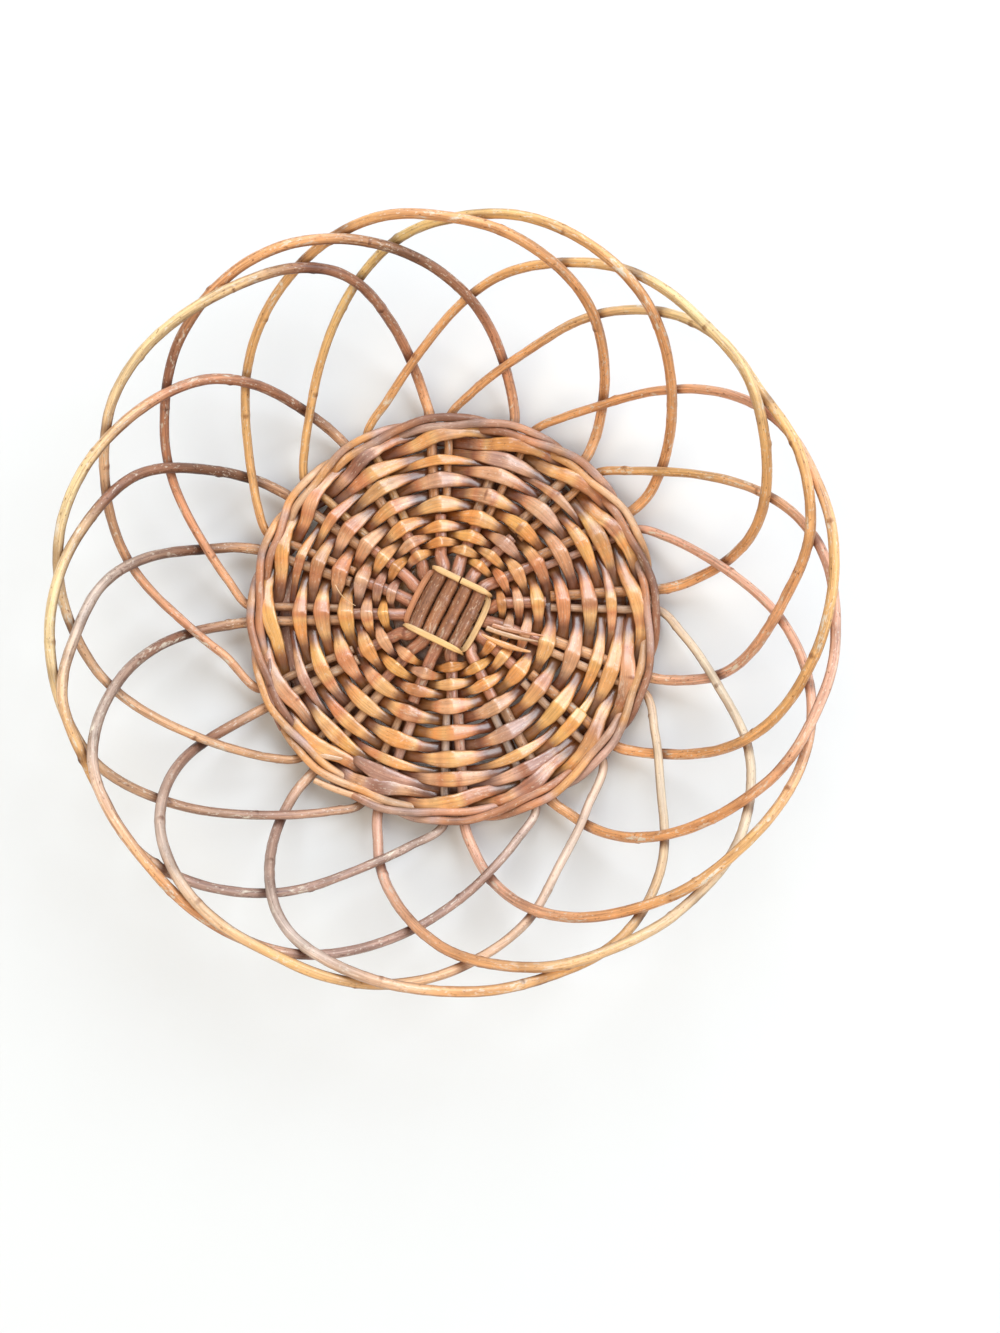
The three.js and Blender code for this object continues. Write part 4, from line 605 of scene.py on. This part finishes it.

# ---------------------------------------------------------------------- arches
# tones from the thick end to the thin one: inside the base, up the thick leg,
# the shoulder, the crown twice, down the thin leg, inside the base again.
# Partly painted light: the ash and mauve greys on the left-hand arches are partly
# painted shade and reflection, and the bone tones on the thin legs at the lower
# right partly a painted highlight, over the skin's own tones.
ARCH_TONES = [
    ("amber", "amber", "gold", "straw", "gold", "amber", "gold"),
    ("amber", "amber", "amber", "gold", "yellow", "gold", "gold"),
    ("tan", "amber", "amber", "amber", "gold", "gold", "amber"),
    ("tan", "caramel", "walnut", "amber", "brown", "caramel", "tan"),
    ("amber", "caramel", "brown", "straw", "tan", "caramel", "tan"),
    ("tan", "brown", "caramel", "straw", "tan", "tan", "tan"),
    ("tan", "walnut", "brown", "straw", "tan", "mauve", "tan"),
    ("tan", "walnut", "ash", "gold", "mauve", "mauve", "ash"),
    ("tan", "brown", "ash", "amber", "mauve", "mauve", "ash"),
    ("tan", "brown", "ash", "gold", "tan", "ash", "fawn"),
    ("tan", "mauve", "ash", "amber", "gold", "bone", "fawn"),
    ("rose", "rose", "amber", "sand", "bone", "bone", "fawn"),
    ("rose", "rose", "amber", "gold", "rose", "rose", "rose"),
    ("tan", "amber", "amber", "rose", "rose", "gold", "amber"),
    ("amber", "amber", "gold", "gold", "rose", "amber", "amber"),
    ("amber", "rose", "amber", "gold", "straw", "amber", "amber"),
]


def jitter(tint, along, seed, amount=0.12, period=22.0):
    k = 1 + amount * noise1(along, period, seed) + 0.5 * amount * noise1(along, period / 4, seed + 1)
    warm = amount * 0.5 * noise1(along, period * 1.7, seed + 2)
    return np.clip(tint * k[:, None] * np.stack([1 + warm * 0.2, 1 - warm * 0.3, 1 - warm], 1), 0.01, 0.95)


ARCH_PATHS = []
for route in ARCH_ROUTES:
    r = np.array(route).reshape(-1, 3)
    ctrl = np.stack([np.cos(np.radians(r[:, 0])) * r[:, 1], np.sin(np.radians(r[:, 0])) * r[:, 1], r[:, 2]], 1)
    path, _ = through(ctrl, 1.0)
    (path,) = even(path, 1.0)
    f = lengths(path) / lengths(path)[-1]
    ARCH_PATHS.append((path, f, (BUTT_RADIUS + (TIP_RADIUS - BUTT_RADIUS) * f) * 0.985, np.gradient(path, axis=0)))


def crossing_shadow(i):
    """Painted shadow where arch i passes close to another one, strongest where it lies below it, from 0 to 1 along it.
    """
    path, f, radius, t = ARCH_PATHS[i]
    worst = np.zeros(len(path))
    for j, (other, _, r2, t2) in enumerate(ARCH_PATHS):
        if j == i:
            continue
        d = np.linalg.norm(path[:, None, :] - other[None, :, :], axis=2)
        k = np.argmin(d, axis=1)
        gap = d[np.arange(len(path)), k] - radius - r2[k]
        a, b = t / np.linalg.norm(t, axis=1)[:, None], t2[k] / np.linalg.norm(t2[k], axis=1)[:, None]
        cross = np.linalg.norm(np.cross(a, b), axis=1)
        below = np.clip((other[k][:, 2] - path[:, 2]) / 2.5, 0, 1)
        worst = np.maximum(worst, np.clip(1.25 - gap / 2.6, 0, 1) * np.clip((cross - 0.3) / 0.3, 0, 1) * (0.25 + 0.75 * below))
    return worst * np.clip((path[:, 2] - 9) / 4, 0, 1)


for i, (path, f, radius, _) in enumerate(ARCH_PATHS):
    along = lengths(path)
    tint = tone_ramp(ARCH_TONES[i], [0.06, 0.17, 0.33, 0.47, 0.62, 0.8, 0.94], f)
    tint = jitter(jitter(tint, along, 100 + i, 0.16, 30.0), along, 150 + i, 0.07, 7.0)
    tint = lift(tint, 1.84 if i in (0, 1, 2, 3, 13, 14, 15) else 1.76, 0.17)
    pale = i in (9, 10, 11)
    inside = np.clip((96 - np.hypot(path[:, 0], path[:, 1])) / 4, 0, 1)
    turn = np.degrees(np.arctan2(path[:, 1], path[:, 0])) % 360
    # painted shade on the arch where it runs inside the base, weaker on the pale arches 10 to 12 and weakest between
    # 326 and 350 degrees
    shade_in_base = np.where((turn > 326) & (turn < 350), 0.12, 0.35 if pale else 0.45)
    tint = np.where(((turn > 326) & (turn < 350) & (inside > 0.5))[:, None], tint * 0.35 + TONES["fawn"] * 0.95, tint)
    # painted shadow at crossings and painted shade inside the base
    dark = np.maximum(0.8 * crossing_shadow(i), shade_in_base * inside)
    # a narrow dark band across arch 5 at 0.32 of its length
    if i == 4:
        dark = np.maximum(dark, 0.5 * np.exp(-(((f - 0.32) / 0.012) ** 2)))
    # under and brim: painted shade on the sides and undersides, less of it on arches 1 to 3 and 13 to 16
    obj = rod(
        "willow_arch_%02d" % (i + 1), path, radius, radius, tint, seed=10 + i, rough=0.028,
        knots=knots_along(along[-1], 300 + i), dark=dark, under=0.4 if i in (0, 1, 2, 12, 13, 14, 15) else 0.82, brim=0.8,
    )
    settle(obj, PALE_ARCH if pale else ARCH, "pale_arch_willow" if pale else "arch_willow", "arch_rod_%02d" % (i + 1))


# ---------------------------------------------------------------- base weaving
def weave_tone(path, along, seed, rich):
    """Golden to rose-brown skin that changes slowly along the strand."""
    names = ["wheat", "ochre", "sand", "caramel", "fawn", "lilac", "cocoa"]
    table = np.array([TONES[n] for n in names])
    x = rich + 2.4 * noise1(along, 26.0, seed) + 1.3 * noise1(along, 9.0, seed + 5)
    x = np.clip(x, 0, len(names) - 1.001)
    return np.stack([np.interp(x, np.arange(len(names)), table[:, c]) for c in range(3)], 1)


def woven(first, last, parity, end, half_t=1.15):
    """The whole smooth centreline of a plain-weave strand and, at each step,
    the spoke count and outward direction."""
    ns = list(range(first, last + 1))
    side = [1 if (n + parity) % 2 == 0 else -1 for n in ns]
    rr = [row_radius((end - n) / SPOKES) for n in ns]
    need = [(2.78 if r < STICK_END - 0.8 else 2.5) + half_t for r in rr]
    z0 = [spoke_height(n % SPOKES, r) for n, r in zip(ns, rr)]
    span = [stride(ns[k] % SPOKES, rr[k], rr[k + 1]) for k in range(len(ns) - 1)]
    h = [v + 0.8 for v in need]
    for _ in range(12):
        new = []
        for k in range(len(ns)):
            tilt = 0.0
            for j in (k - 1, k + 1):
                if 0 <= j < len(ns):
                    dz = abs((z0[k] + side[k] * h[k]) - (z0[j] + side[j] * h[j]))
                    if (z0[k] + side[k] * h[k] - z0[j] - side[j] * h[j]) * side[k] < 0:
                        dz = 0.0
                    tilt = max(tilt, math.atan2(dz, span[min(k, j)]))
            hp = half_pair(ns[k] % SPOKES, rr[k])
            new.append(min(need[k] / math.cos(tilt) + hp * math.tan(tilt) * 0.8, need[k] + 1.9))
        h = [0.5 * (a + b) for a, b in zip(h, new)]
    pts, outs, wide = [], [], []
    for k, n in enumerate(ns):
        p, o = beside(n % SPOKES, rr[k], 0.0, 0.0, z0[k] + side[k] * h[k])
        o[2] = (spoke_height(n % SPOKES, rr[k] + 1) - spoke_height(n % SPOKES, rr[k] - 1)) / 2
        pts.append(p)
        outs.append(o)
    pts = np.array(pts)
    # follow the circle between the spokes
    dense, outd, num = [], [], []
    for k in range(len(ns) - 1):
        for t in np.linspace(0, 1, 12, endpoint=False):
            r = rr[k] + (rr[k + 1] - rr[k]) * t
            z = pts[k][2] + (pts[k + 1][2] - pts[k][2]) * t
            a, oa = beside(ns[k] % SPOKES, r, stride(ns[k] % SPOKES, r, r) * t, 0.0, z)
            dense.append(a)
            o = outs[k] * (1 - t) + outs[k + 1] * t
            outd.append(o)
            num.append(ns[k] + t)
    dense.append(pts[-1])
    outd.append(outs[-1])
    num.append(ns[-1])
    step = 0.5
    path, outd, num = even(np.array(dense), step, np.array(outd), np.array(num))
    path = rounded(rounded(path, 1.0, step), 1.0, step)
    return path, outd, num


def plateau(phase):
    """1 where a strip lies over or under a spoke, 0 half way to the next one."""
    return (0.5 + 0.5 * np.cos(2 * math.pi * phase)) ** 0.85


def strand(name, path, out, num, lo, hi, end, parity, half_t, seed, rich, material, slot, node):
    keep = (num >= lo) & (num <= hi)
    path, out, num = path[keep], out[keep], num[keep]
    s = lengths(path)
    inside = (s >= SPLICE_GAP / 2) & (s <= s[-1] - SPLICE_GAP / 2)
    path, out, num, s = path[inside], out[inside], num[inside], s[inside]
    pitch = np.array([row_pitch((end - n) / SPOKES) for n in num])
    g = np.random.default_rng(seed)
    per_stroke = g.uniform(-1, 1, int(hi - lo) + 3)
    stroke = per_stroke[np.clip(np.round(num - lo).astype(int), 0, len(per_stroke) - 1)]
    stroke = np.convolve(np.pad(stroke, 4, mode="edge"), np.ones(9) / 9, mode="valid")
    phase = num - np.floor(num)
    peak = plateau(phase)
    wide_max = np.minimum(3.6, pitch * 0.74)
    wide_min = np.minimum(2.45, pitch * 0.48)
    half_w = wide_min + (wide_max * (1 + 0.1 * stroke) - wide_min) * peak**0.85
    thick = half_t * (1 + 0.25 * (1 - peak)) * np.minimum(1, 0.66 + 0.34 * (pitch - 3.4) / 2.4)
    # small wander between the neighbours
    wob = 0.28 * noise1(s, 16.0, seed + 9) * np.minimum(1, pitch / 5.5)
    path = path + out / np.linalg.norm(out, axis=1)[:, None] * wob[:, None]
    tint = lift(jitter(weave_tone(path, s, seed + 3, rich), s, seed + 4, 0.2, 11.0) * np.array([1.03, 0.915, 0.83]), 1.2, 0.0)
    # painted shade: dark on the stretches that pass under a spoke; edge and under add painted shade along the strip's
    # sides and underside
    under = -np.cos(math.pi * (num + parity))
    dark = np.clip((under + 0.52) / 0.56, 0, 1) * 0.84
    obj = rod(name, path, half_w, thick, tint, side=out, sides=14, square=2.35, seed=seed, rough=0.035, dark=dark, edge=0.6, under=0.4,
              knots=knots_along(s[-1], seed + 8, (60, 160), (0.5, 0.9)))
    return settle(obj, material, slot, node)


pa, oa, na = woven(WEAVER_A_CUTS[3], WEAVER_A_CUTS[0], 0, WEAVER_A_END)
pb, ob, nb = woven(WEAVER_B_CUTS[3], WEAVER_B_CUTS[0], 1, WEAVER_B_END)
for k in range(3):
    strand("woven_weaver_a_%d" % (k + 1), pa, oa, na, WEAVER_A_CUTS[k + 1], WEAVER_A_CUTS[k], WEAVER_A_END, 0, 1.15, 500 + k, 1.6, GOLDEN, "golden_weaver_willow", "weaver_a_length_%d" % (k + 1))
    strand("woven_weaver_b_%d" % (k + 1), pb, ob, nb, WEAVER_B_CUTS[k + 1], WEAVER_B_CUTS[k], WEAVER_B_END, 1, 1.15, 540 + k, 3.0, MAUVE, "mauve_weaver_willow", "weaver_b_length_%d" % (k + 1))


def twined(first, last, parity):
    reach = 2.5 + 1.25
    r = PAIR_ROW + 1.4
    pts, outs, num = [], [], []
    side = lambda n: 1 if (n + parity) % 2 == 0 else -1

    def push(p, x, sway, z, k):
        q, o = beside(p, r, x, sway, z)
        pts.append(q)
        outs.append(o)
        num.append(k)

    for n in range(first, last + 1):
        p, s = n % SPOKES, side(n)
        hp = half_pair(p, r)
        z0 = spoke_height(p, r)
        push(p, SPLICE_GAP / 2 if n == first else (-SPLICE_GAP / 2 if n == last else 0.0), 0.0, z0 + s * (reach + 0.9), n)
        if n == last:
            break
        span = stride(p, r, r)
        push(p, span * 0.36, -3.0 if s > 0 else 2.2, z0 + s * reach * 0.42, n + 0.36)
        push(p, span * 0.64, -3.0 if s > 0 else 2.2, z0 - s * reach * 0.42, n + 0.64)
    path, number = through(pts, 0.6)
    num = np.interp(number, np.arange(len(num)), num)
    out = np.stack([np.interp(number, np.arange(len(outs)), np.array(outs)[:, c]) for c in range(3)], 1)
    return even(path, 0.5, out, num)


for tag, first, parity, rich, mat, slot in (("a", 1, 0, 1.6, GOLDEN, "golden_weaver_willow"), ("b", 0, 1, 3.0, MAUVE, "mauve_weaver_willow")):
    path, out, num = twined(first, first + 16, parity)
    s = lengths(path)
    phase = num - np.floor(num)
    peak = plateau(phase)
    seed = 580 + first
    half_w = 2.8 + (3.6 - 2.8) * peak
    thick = 1.2 + 0.15 * (1 - peak)
    tint = lift(jitter(weave_tone(path, s, seed + 3, rich), s, seed + 4, 0.2, 11.0) * np.array([1.03, 0.915, 0.83]), 1.2, 0.0)
    # painted shade: dark on the stretches that pass under a spoke; edge and under add painted shade along the strip's
    # sides and underside
    dark = np.clip((-np.cos(math.pi * (num + parity)) + 0.3) / 0.6, 0, 1) * 0.84
    obj = rod("woven_twined_" + tag, path, half_w, thick, tint, side=out, sides=14, square=2.3, seed=seed, rough=0.04, dark=dark, edge=0.6, under=0.4,
              knots=knots_along(s[-1], seed + 8, (60, 160), (0.5, 0.9)))
    settle(obj, mat, slot, "twined_weaver_" + tag)


# ------------------------------------------------------------------------ wale
def wale(first, last, phase0):
    reach = BUTT_RADIUS * 1.05 + 0.15 + WALE_RADIUS * 1.05
    low = WALE_RADIUS * 1.04
    r = WALE_ROW
    state = lambda n: (n + phase0) % 3
    pts, outs = [], []

    def push(p, x, sway, z):
        q, o = beside(p, r, x, sway, z)
        pts.append(q)
        outs.append(o)

    for n in range(first, last + 1):
        p, st = n % SPOKES, state(n)
        z0 = spoke_height(p, r)
        sway, z = {0: (WALE_SWAY, z0 + reach), 1: (-WALE_SWAY, z0 + reach), 2: (0.0, low)}[st]
        a = half_pair(p, r) + 1.6
        if n == first:
            push(p, SPLICE_GAP / 2, sway, z)
        else:
            push(p, -a, sway, z)
        if n == last:
            push(p, -SPLICE_GAP / 2, sway, z)
            break
        push(p, a, sway, z)
        span = stride(p, r, r)
        if st == 0:
            push(p, span / 2, 0.0, z0 + reach)
        elif st == 1:
            push(p, span / 2, -WALE_SWAY_MID, z0)
        else:
            push(p, span / 2, WALE_SWAY_MID, z0)
    path, _ = through(pts, 0.6)
    (path,) = even(path, 0.7)
    path = rounded(path, 2.5, 0.7)
    path[:, 2] = np.maximum(path[:, 2], low)
    return path


for k, (first, last, phase0) in enumerate(((2, 17, 0), (1, 16, 1), (0, 18, 2))):
    path = wale(first, last, phase0)
    s = lengths(path)
    seed = 620 + k
    names = ["fawn", "ochre", "lilac", "caramel", "cocoa", "brown"]
    table = np.array([TONES[n] for n in names])
    x = np.clip(2.2 + 2.3 * noise1(s, 45.0, seed) + 0.8 * noise1(s, 12.0, seed + 5), 0, 4.999)
    tint = np.stack([np.interp(x, np.arange(6), table[:, c]) for c in range(3)], 1)
    tint = lift(jitter(tint, s, seed + 2, 0.2, 12.0), 1.28, 0.1)
    radius = WALE_RADIUS * (1.03 + 0.07 * noise1(s, 60.0, seed + 7))
    # under and brim: painted shade on the rod's sides and underside
    obj = rod("woven_wale_%d" % (k + 1), path, radius * 1.04, np.minimum(radius, WALE_RADIUS * 1.03), tint, sides=14, seed=seed, rough=0.01, under=0.95, brim=0.68,
              knots=knots_along(s[-1], seed + 8, (50, 120), (0.4, 0.7)))
    settle(obj, WALE, "wale_willow", "wale_rod_%d" % (k + 1))


# ------------------------------------------------------------ cross of sticks
def base_stick(far, near, offset, upper):
    d = unit(CROSS_DIRECTION + (0 if upper else 90))
    left = np.array([-d[1], d[0]])
    mid = base_height(0) + (LAYER if upper else -LAYER)
    pts, radii = [], []

    def spoke_end(p, rs):
        for r in rs:
            f = min(1.0, (r - 17) / (STICK_END - 17))
            q = spoke_point(p, r)
            pts.append([q[0], q[1], spoke_height(p, r)])
            radii.append(2.72 + (STICK_RADIUS_END - 2.72) * f)

    spoke_end(near, [STICK_END, 34, 27, 23.5])
    for a in (-16.3, -6, 6, 16.3):
        q = CROSS_MIDDLE + d * a + left * offset
        pts.append([q[0], q[1], mid])
        radii.append(STICK_RADIUS_MID)
    spoke_end(far, [23.5, 27, 34, STICK_END])
    path, number = through(pts, 0.7)
    radius = np.interp(number, np.arange(len(radii)), radii)
    return even(path, 0.7, radius * 1.03)


half = STICK_SPACING / 2
for group, upper in ((((1, 12, -3), (2, 11, -1), (3, 10, 1), (4, 9, 3)), True), (((5, 0, -3), (6, 15, -1), (7, 14, 1), (8, 13, 3)), False)):
    for k, (far, near, m) in enumerate(group):
        path, radius = base_stick(far, near, m * half, upper)
        s = lengths(path)
        seed = 700 + k + (10 if upper else 0)
        tint = tone_ramp(("cocoa", "cocoa", "oak", "oak", "oak", "cocoa", "cocoa"), [0.1, 0.27, 0.36, 0.5, 0.64, 0.73, 0.9], s / s[-1])
        tint = lift(jitter(tint, s, seed + 2, 0.14, 12.0), 1.85, 0.0)
        tag = "upper" if upper else "lower"
        # under and brim: painted shade on the stick's sides and underside
        obj = rod("willow_stick_%s_%d" % (tag, k + 1), path, radius, radius, tint, sides=18, seed=seed, rough=0.03, under=0.85, brim=0.75, knots=knots_along(s[-1], seed + 8, (25, 50), (0.4, 0.8)))
        settle(obj, STICK, "base_stick_willow", "base_stick_%s_%d" % (tag, k + 1))


def cross_tie(over_upper):
    d = unit(CROSS_DIRECTION)
    left = np.array([-d[1], d[0]])
    centre = base_height(0)
    side_at, edge = TIE_SIDE + 0.05, TIE_SIDE - 2.2
    reach = STICK_RADIUS_MID * 1.04 + 0.62
    pts, outs = [], []
    dirs = ((1, 0), (0, -1), (-1, 0), (0, 1))
    for k in range(4):
        upper = k % 2 == 0
        over = upper == over_upper
        z = centre + (LAYER if upper else -LAYER) + (reach if over else -reach)
        a, b = dirs[k]
        out = d * a + left * b
        along = d * b - left * a

        def put(o, l, height, turn):
            q = CROSS_MIDDLE + out * o + along * l
            pts.append([q[0], q[1], height])
            v = out * (1 - turn) + along * turn
            outs.append([v[0], v[1], 0.0])

        put(side_at, 0.0 if k == 0 else -edge, z, 0.0)
        put(side_at, edge, z, 0.0)
        if over_upper:
            put(TIE_SIDE + 0.05, TIE_SIDE - 0.5, z * 0.72 + centre * 0.28, 0.35)
            put(TIE_SIDE - 0.5, TIE_SIDE + 0.05, centre - (z - centre) * 0.72, 0.65)
        else:
            put(TIE_SIDE - 1.3, TIE_SIDE - 1.3, centre, 0.5)
    z = centre + LAYER + (reach if over_upper else -reach)
    for l in (-edge, -SPLICE_GAP):
        q = CROSS_MIDDLE + d * side_at + left * -l
        pts.append([q[0], q[1], z])
        outs.append([d[0], d[1], 0.0])
    path, number = through(pts, 0.5)
    out = np.stack([np.interp(number, np.arange(len(outs)), np.array(outs)[:, c]) for c in range(3)], 1)
    return even(path, 0.5, out)


for over_upper, tag in ((True, "outer"), (False, "inner")):
    path, out = cross_tie(over_upper)
    s = lengths(path)
    names = ("sand", "wheat", "sand", "sand") if over_upper else ("sand", "sand", "caramel", "caramel")
    tint = jitter(lift(tone_ramp(names, [0, 0.4, 0.6, 1], s / s[-1]), 1.36, 0.08), s, 760 + over_upper, 0.12, 15.0)
    t_, s_, n_ = frames(path, out)
    steep = np.abs(t_[:, 2])
    half_w = 1.5 - 0.6 * np.clip(steep * 1.3, 0, 1)
    # edge: painted shade along the tie's two sides
    obj = rod("split_tie_" + tag, path, half_w, 0.5, tint, side=out, sides=14, square=2.8, seed=770 + over_upper, rough=0.03, edge=0.4)
    settle(obj, TIE, "tie_willow", "cross_tie_" + tag)


# ------------------------------------------------------- loose and tucked ends
PIXEL = 0.449


def laid(name, ends, heights, half_w, half_t, tone, seed, tips, material, bow=0.0, steps=60):
    """A short rod or strip lying on the base, from one (radius, angle) to another."""
    (r1, a1), (r2, a2) = ends
    t = np.linspace(0, 1, steps)
    rr, aa = (r1 + (r2 - r1) * t) * PIXEL, a1 + (a2 - a1) * t
    q = np.array([row_centre(min(r, BASE_RADIUS)) + unit(a) * (r + bow * math.sin(math.pi * u)) for r, a, u in zip(rr, aa, t)])
    z = np.array([base_height(min(r, BASE_RADIUS)) for r in rr]) + np.interp(t, np.linspace(0, 1, len(heights)), heights)
    path, _ = through(np.column_stack([q, z])[::6], 0.5)
    (path,) = even(path, 0.5)
    s = lengths(path)
    tint = lift(jitter(np.repeat(TONES[tone][None], len(s), axis=0), s, seed, 0.14, 12.0), 1.3, 0.08)
    tangent = np.gradient(path, axis=0)
    side = np.column_stack([-tangent[:, 1], tangent[:, 0], np.zeros(len(s))])
    # edge and under: painted shade along the sides and underside
    obj = rod(name, path, half_w, half_t, tint, side=side, sides=14, square=2.3, seed=seed, rough=0.04, edge=0.4, under=0.5, ends=tips)
    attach(obj, "root")
    obj.data.materials.append(material)
    return obj


# the first round of weaving, tucked under the corners of the cross
ring = np.linspace(0, 2 * math.pi, 161)[:-1]
ring_path = np.column_stack([CROSS_MIDDLE[0] * 0.6 + HUB[0] * 0.4 + np.cos(ring) * 21.4, CROSS_MIDDLE[1] * 0.6 + HUB[1] * 0.4 + np.sin(ring) * 21.4, 3.2 + 0.5 * np.sin(8 * ring)])
(ring_path,) = even(ring_path, 0.6)
ring_s = lengths(ring_path)
ring_out = np.column_stack([ring_path[:, 0] - CROSS_MIDDLE[0], ring_path[:, 1] - CROSS_MIDDLE[1], np.zeros(len(ring_s))])
# edge: painted shade along the ring's two sides
obj = rod("tucked_first_round", ring_path, 4.0, 0.6, lift(jitter(weave_tone(ring_path, ring_s, 811, 3.5), ring_s, 812, 0.14, 9.0), 0.8), side=ring_out, sides=14, square=2.5, seed=813, rough=0.04, edge=0.5, ends=("point", "point"))
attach(obj, "root")
obj.data.materials.append(MAUVE)
laid("loose_splinter", ((116, 166.4), (88, 178.4)), (5.3, 5.9, 5.5), 0.5, 0.4, "sand", 801, ("point", "point"), GOLDEN, 1.2)
laid("tucked_rod_1", ((45, 323), (96, 334)), (4.2, 5.4, 5.0), 1.7, 1.2, "ochre", 802, ("point", "point"), GOLDEN, 0.8)
laid("tucked_rod_2", ((46, 333), (100, 341.5)), (4.2, 5.5, 5.1), 1.15, 1.0, "tan", 803, ("cut", "point"), MAUVE, 0.4)
laid("tucked_rod_3", ((50, 339), (102, 345.5)), (4.2, 5.5, 5.1), 1.1, 1.0, "caramel", 804, ("cut", "point"), MAUVE, 0.2)
laid("tucked_rod_4", ((186, 192.8), (206, 215)), (4.0, 4.6, 3.4), 1.6, 1.2, "cocoa", 805, ("point", "point"), MAUVE, 0.6)
laid("tucked_rod_5", ((194, 223), (176, 233.6)), (4.8, 5.2, 4.6), 2.1, 0.8, "fawn", 806, ("point", "point"), MAUVE, 0.3)
laid("tucked_rod_6", ((211, 229.6), (193, 254)), (3.4, 4.6, 4.4), 1.5, 1.2, "fawn", 807, ("cut", "point"), WALE, -0.6)
laid("tucked_rod_7", ((167, 162), (167, 216)), (-3.4, -3.9, -3.9, -3.4), 3.2, 0.8, "cocoa", 808, ("point", "point"), MAUVE, 0.0)

# ----------------------------------------------------------------------- stage
def plain(name, colour, rough):
    m = bpy.data.materials.new(name)
    m.use_nodes = True
    b = m.node_tree.nodes["Principled BSDF"]
    b.inputs["Base Color"].default_value = (*colour, 1.0)
    b.inputs["Roughness"].default_value = rough
    b.inputs["Specular IOR Level"].default_value = 0.2
    return m


floor_mesh = bpy.data.meshes.new("floor")
floor_mesh.from_pydata([(-4, -4, -0.0002), (4, -4, -0.0002), (4, 4, -0.0002), (-4, 4, -0.0002)], [], [(0, 1, 2, 3)])
floor = bpy.data.objects.new("floor", floor_mesh)
bpy.context.scene.collection.objects.link(floor)
floor.data.materials.append(plain("pale_floor", (0.8, 0.8, 0.8), 0.6))

scene = bpy.context.scene
world = bpy.data.worlds.new("studio")
scene.world = world
world.use_nodes = True
world.node_tree.nodes["Background"].inputs[0].default_value = (0.95, 0.98, 1.0, 1.0)
world.node_tree.nodes["Background"].inputs[1].default_value = 0.33


def area(name, azimuth, elevation, distance, size, power, colour=(1, 1, 1)):
    light = bpy.data.lights.new(name, "AREA")
    light.shape = "DISK"
    light.size = size
    light.energy = power
    light.color = colour
    o = bpy.data.objects.new(name, light)
    scene.collection.objects.link(o)
    a, e = math.radians(azimuth), math.radians(elevation)
    v = np.array([math.cos(a) * math.cos(e), math.sin(a) * math.cos(e), math.sin(e)])
    o.location = v * distance
    from mathutils import Vector
    o.rotation_euler = Vector(v).to_track_quat("Z", "Y").to_euler()
    return o


area("key_north", 84, 41, 4.0, 3.0, 104, (0.8, 0.9, 1.0))
area("key_east", 20, 41, 4.0, 3.0, 100, (0.82, 0.91, 1.0))
fill = area("fill", 228, 58, 4.0, 4.2, 90, (1.0, 0.87, 0.67))
fill.visible_glossy = False

scene.view_settings.view_transform = "Standard"
scene.view_settings.look = "None"
scene.view_settings.exposure = 0.0
scene.view_settings.gamma = 1.0

camera = bpy.data.cameras.new("camera")
camera.sensor_fit = "AUTO"
camera.sensor_width = 36.0
camera.lens = 43.21
camera.clip_start = 0.05
camera.clip_end = 20.0
camera_object = bpy.data.objects.new("camera", camera)
scene.collection.objects.link(camera_object)
camera_object.location = (0.04223, -0.07501, 0.7197)
camera_object.rotation_euler = (math.radians(4.17), math.radians(1.67), 0.0)
scene.camera = camera_object
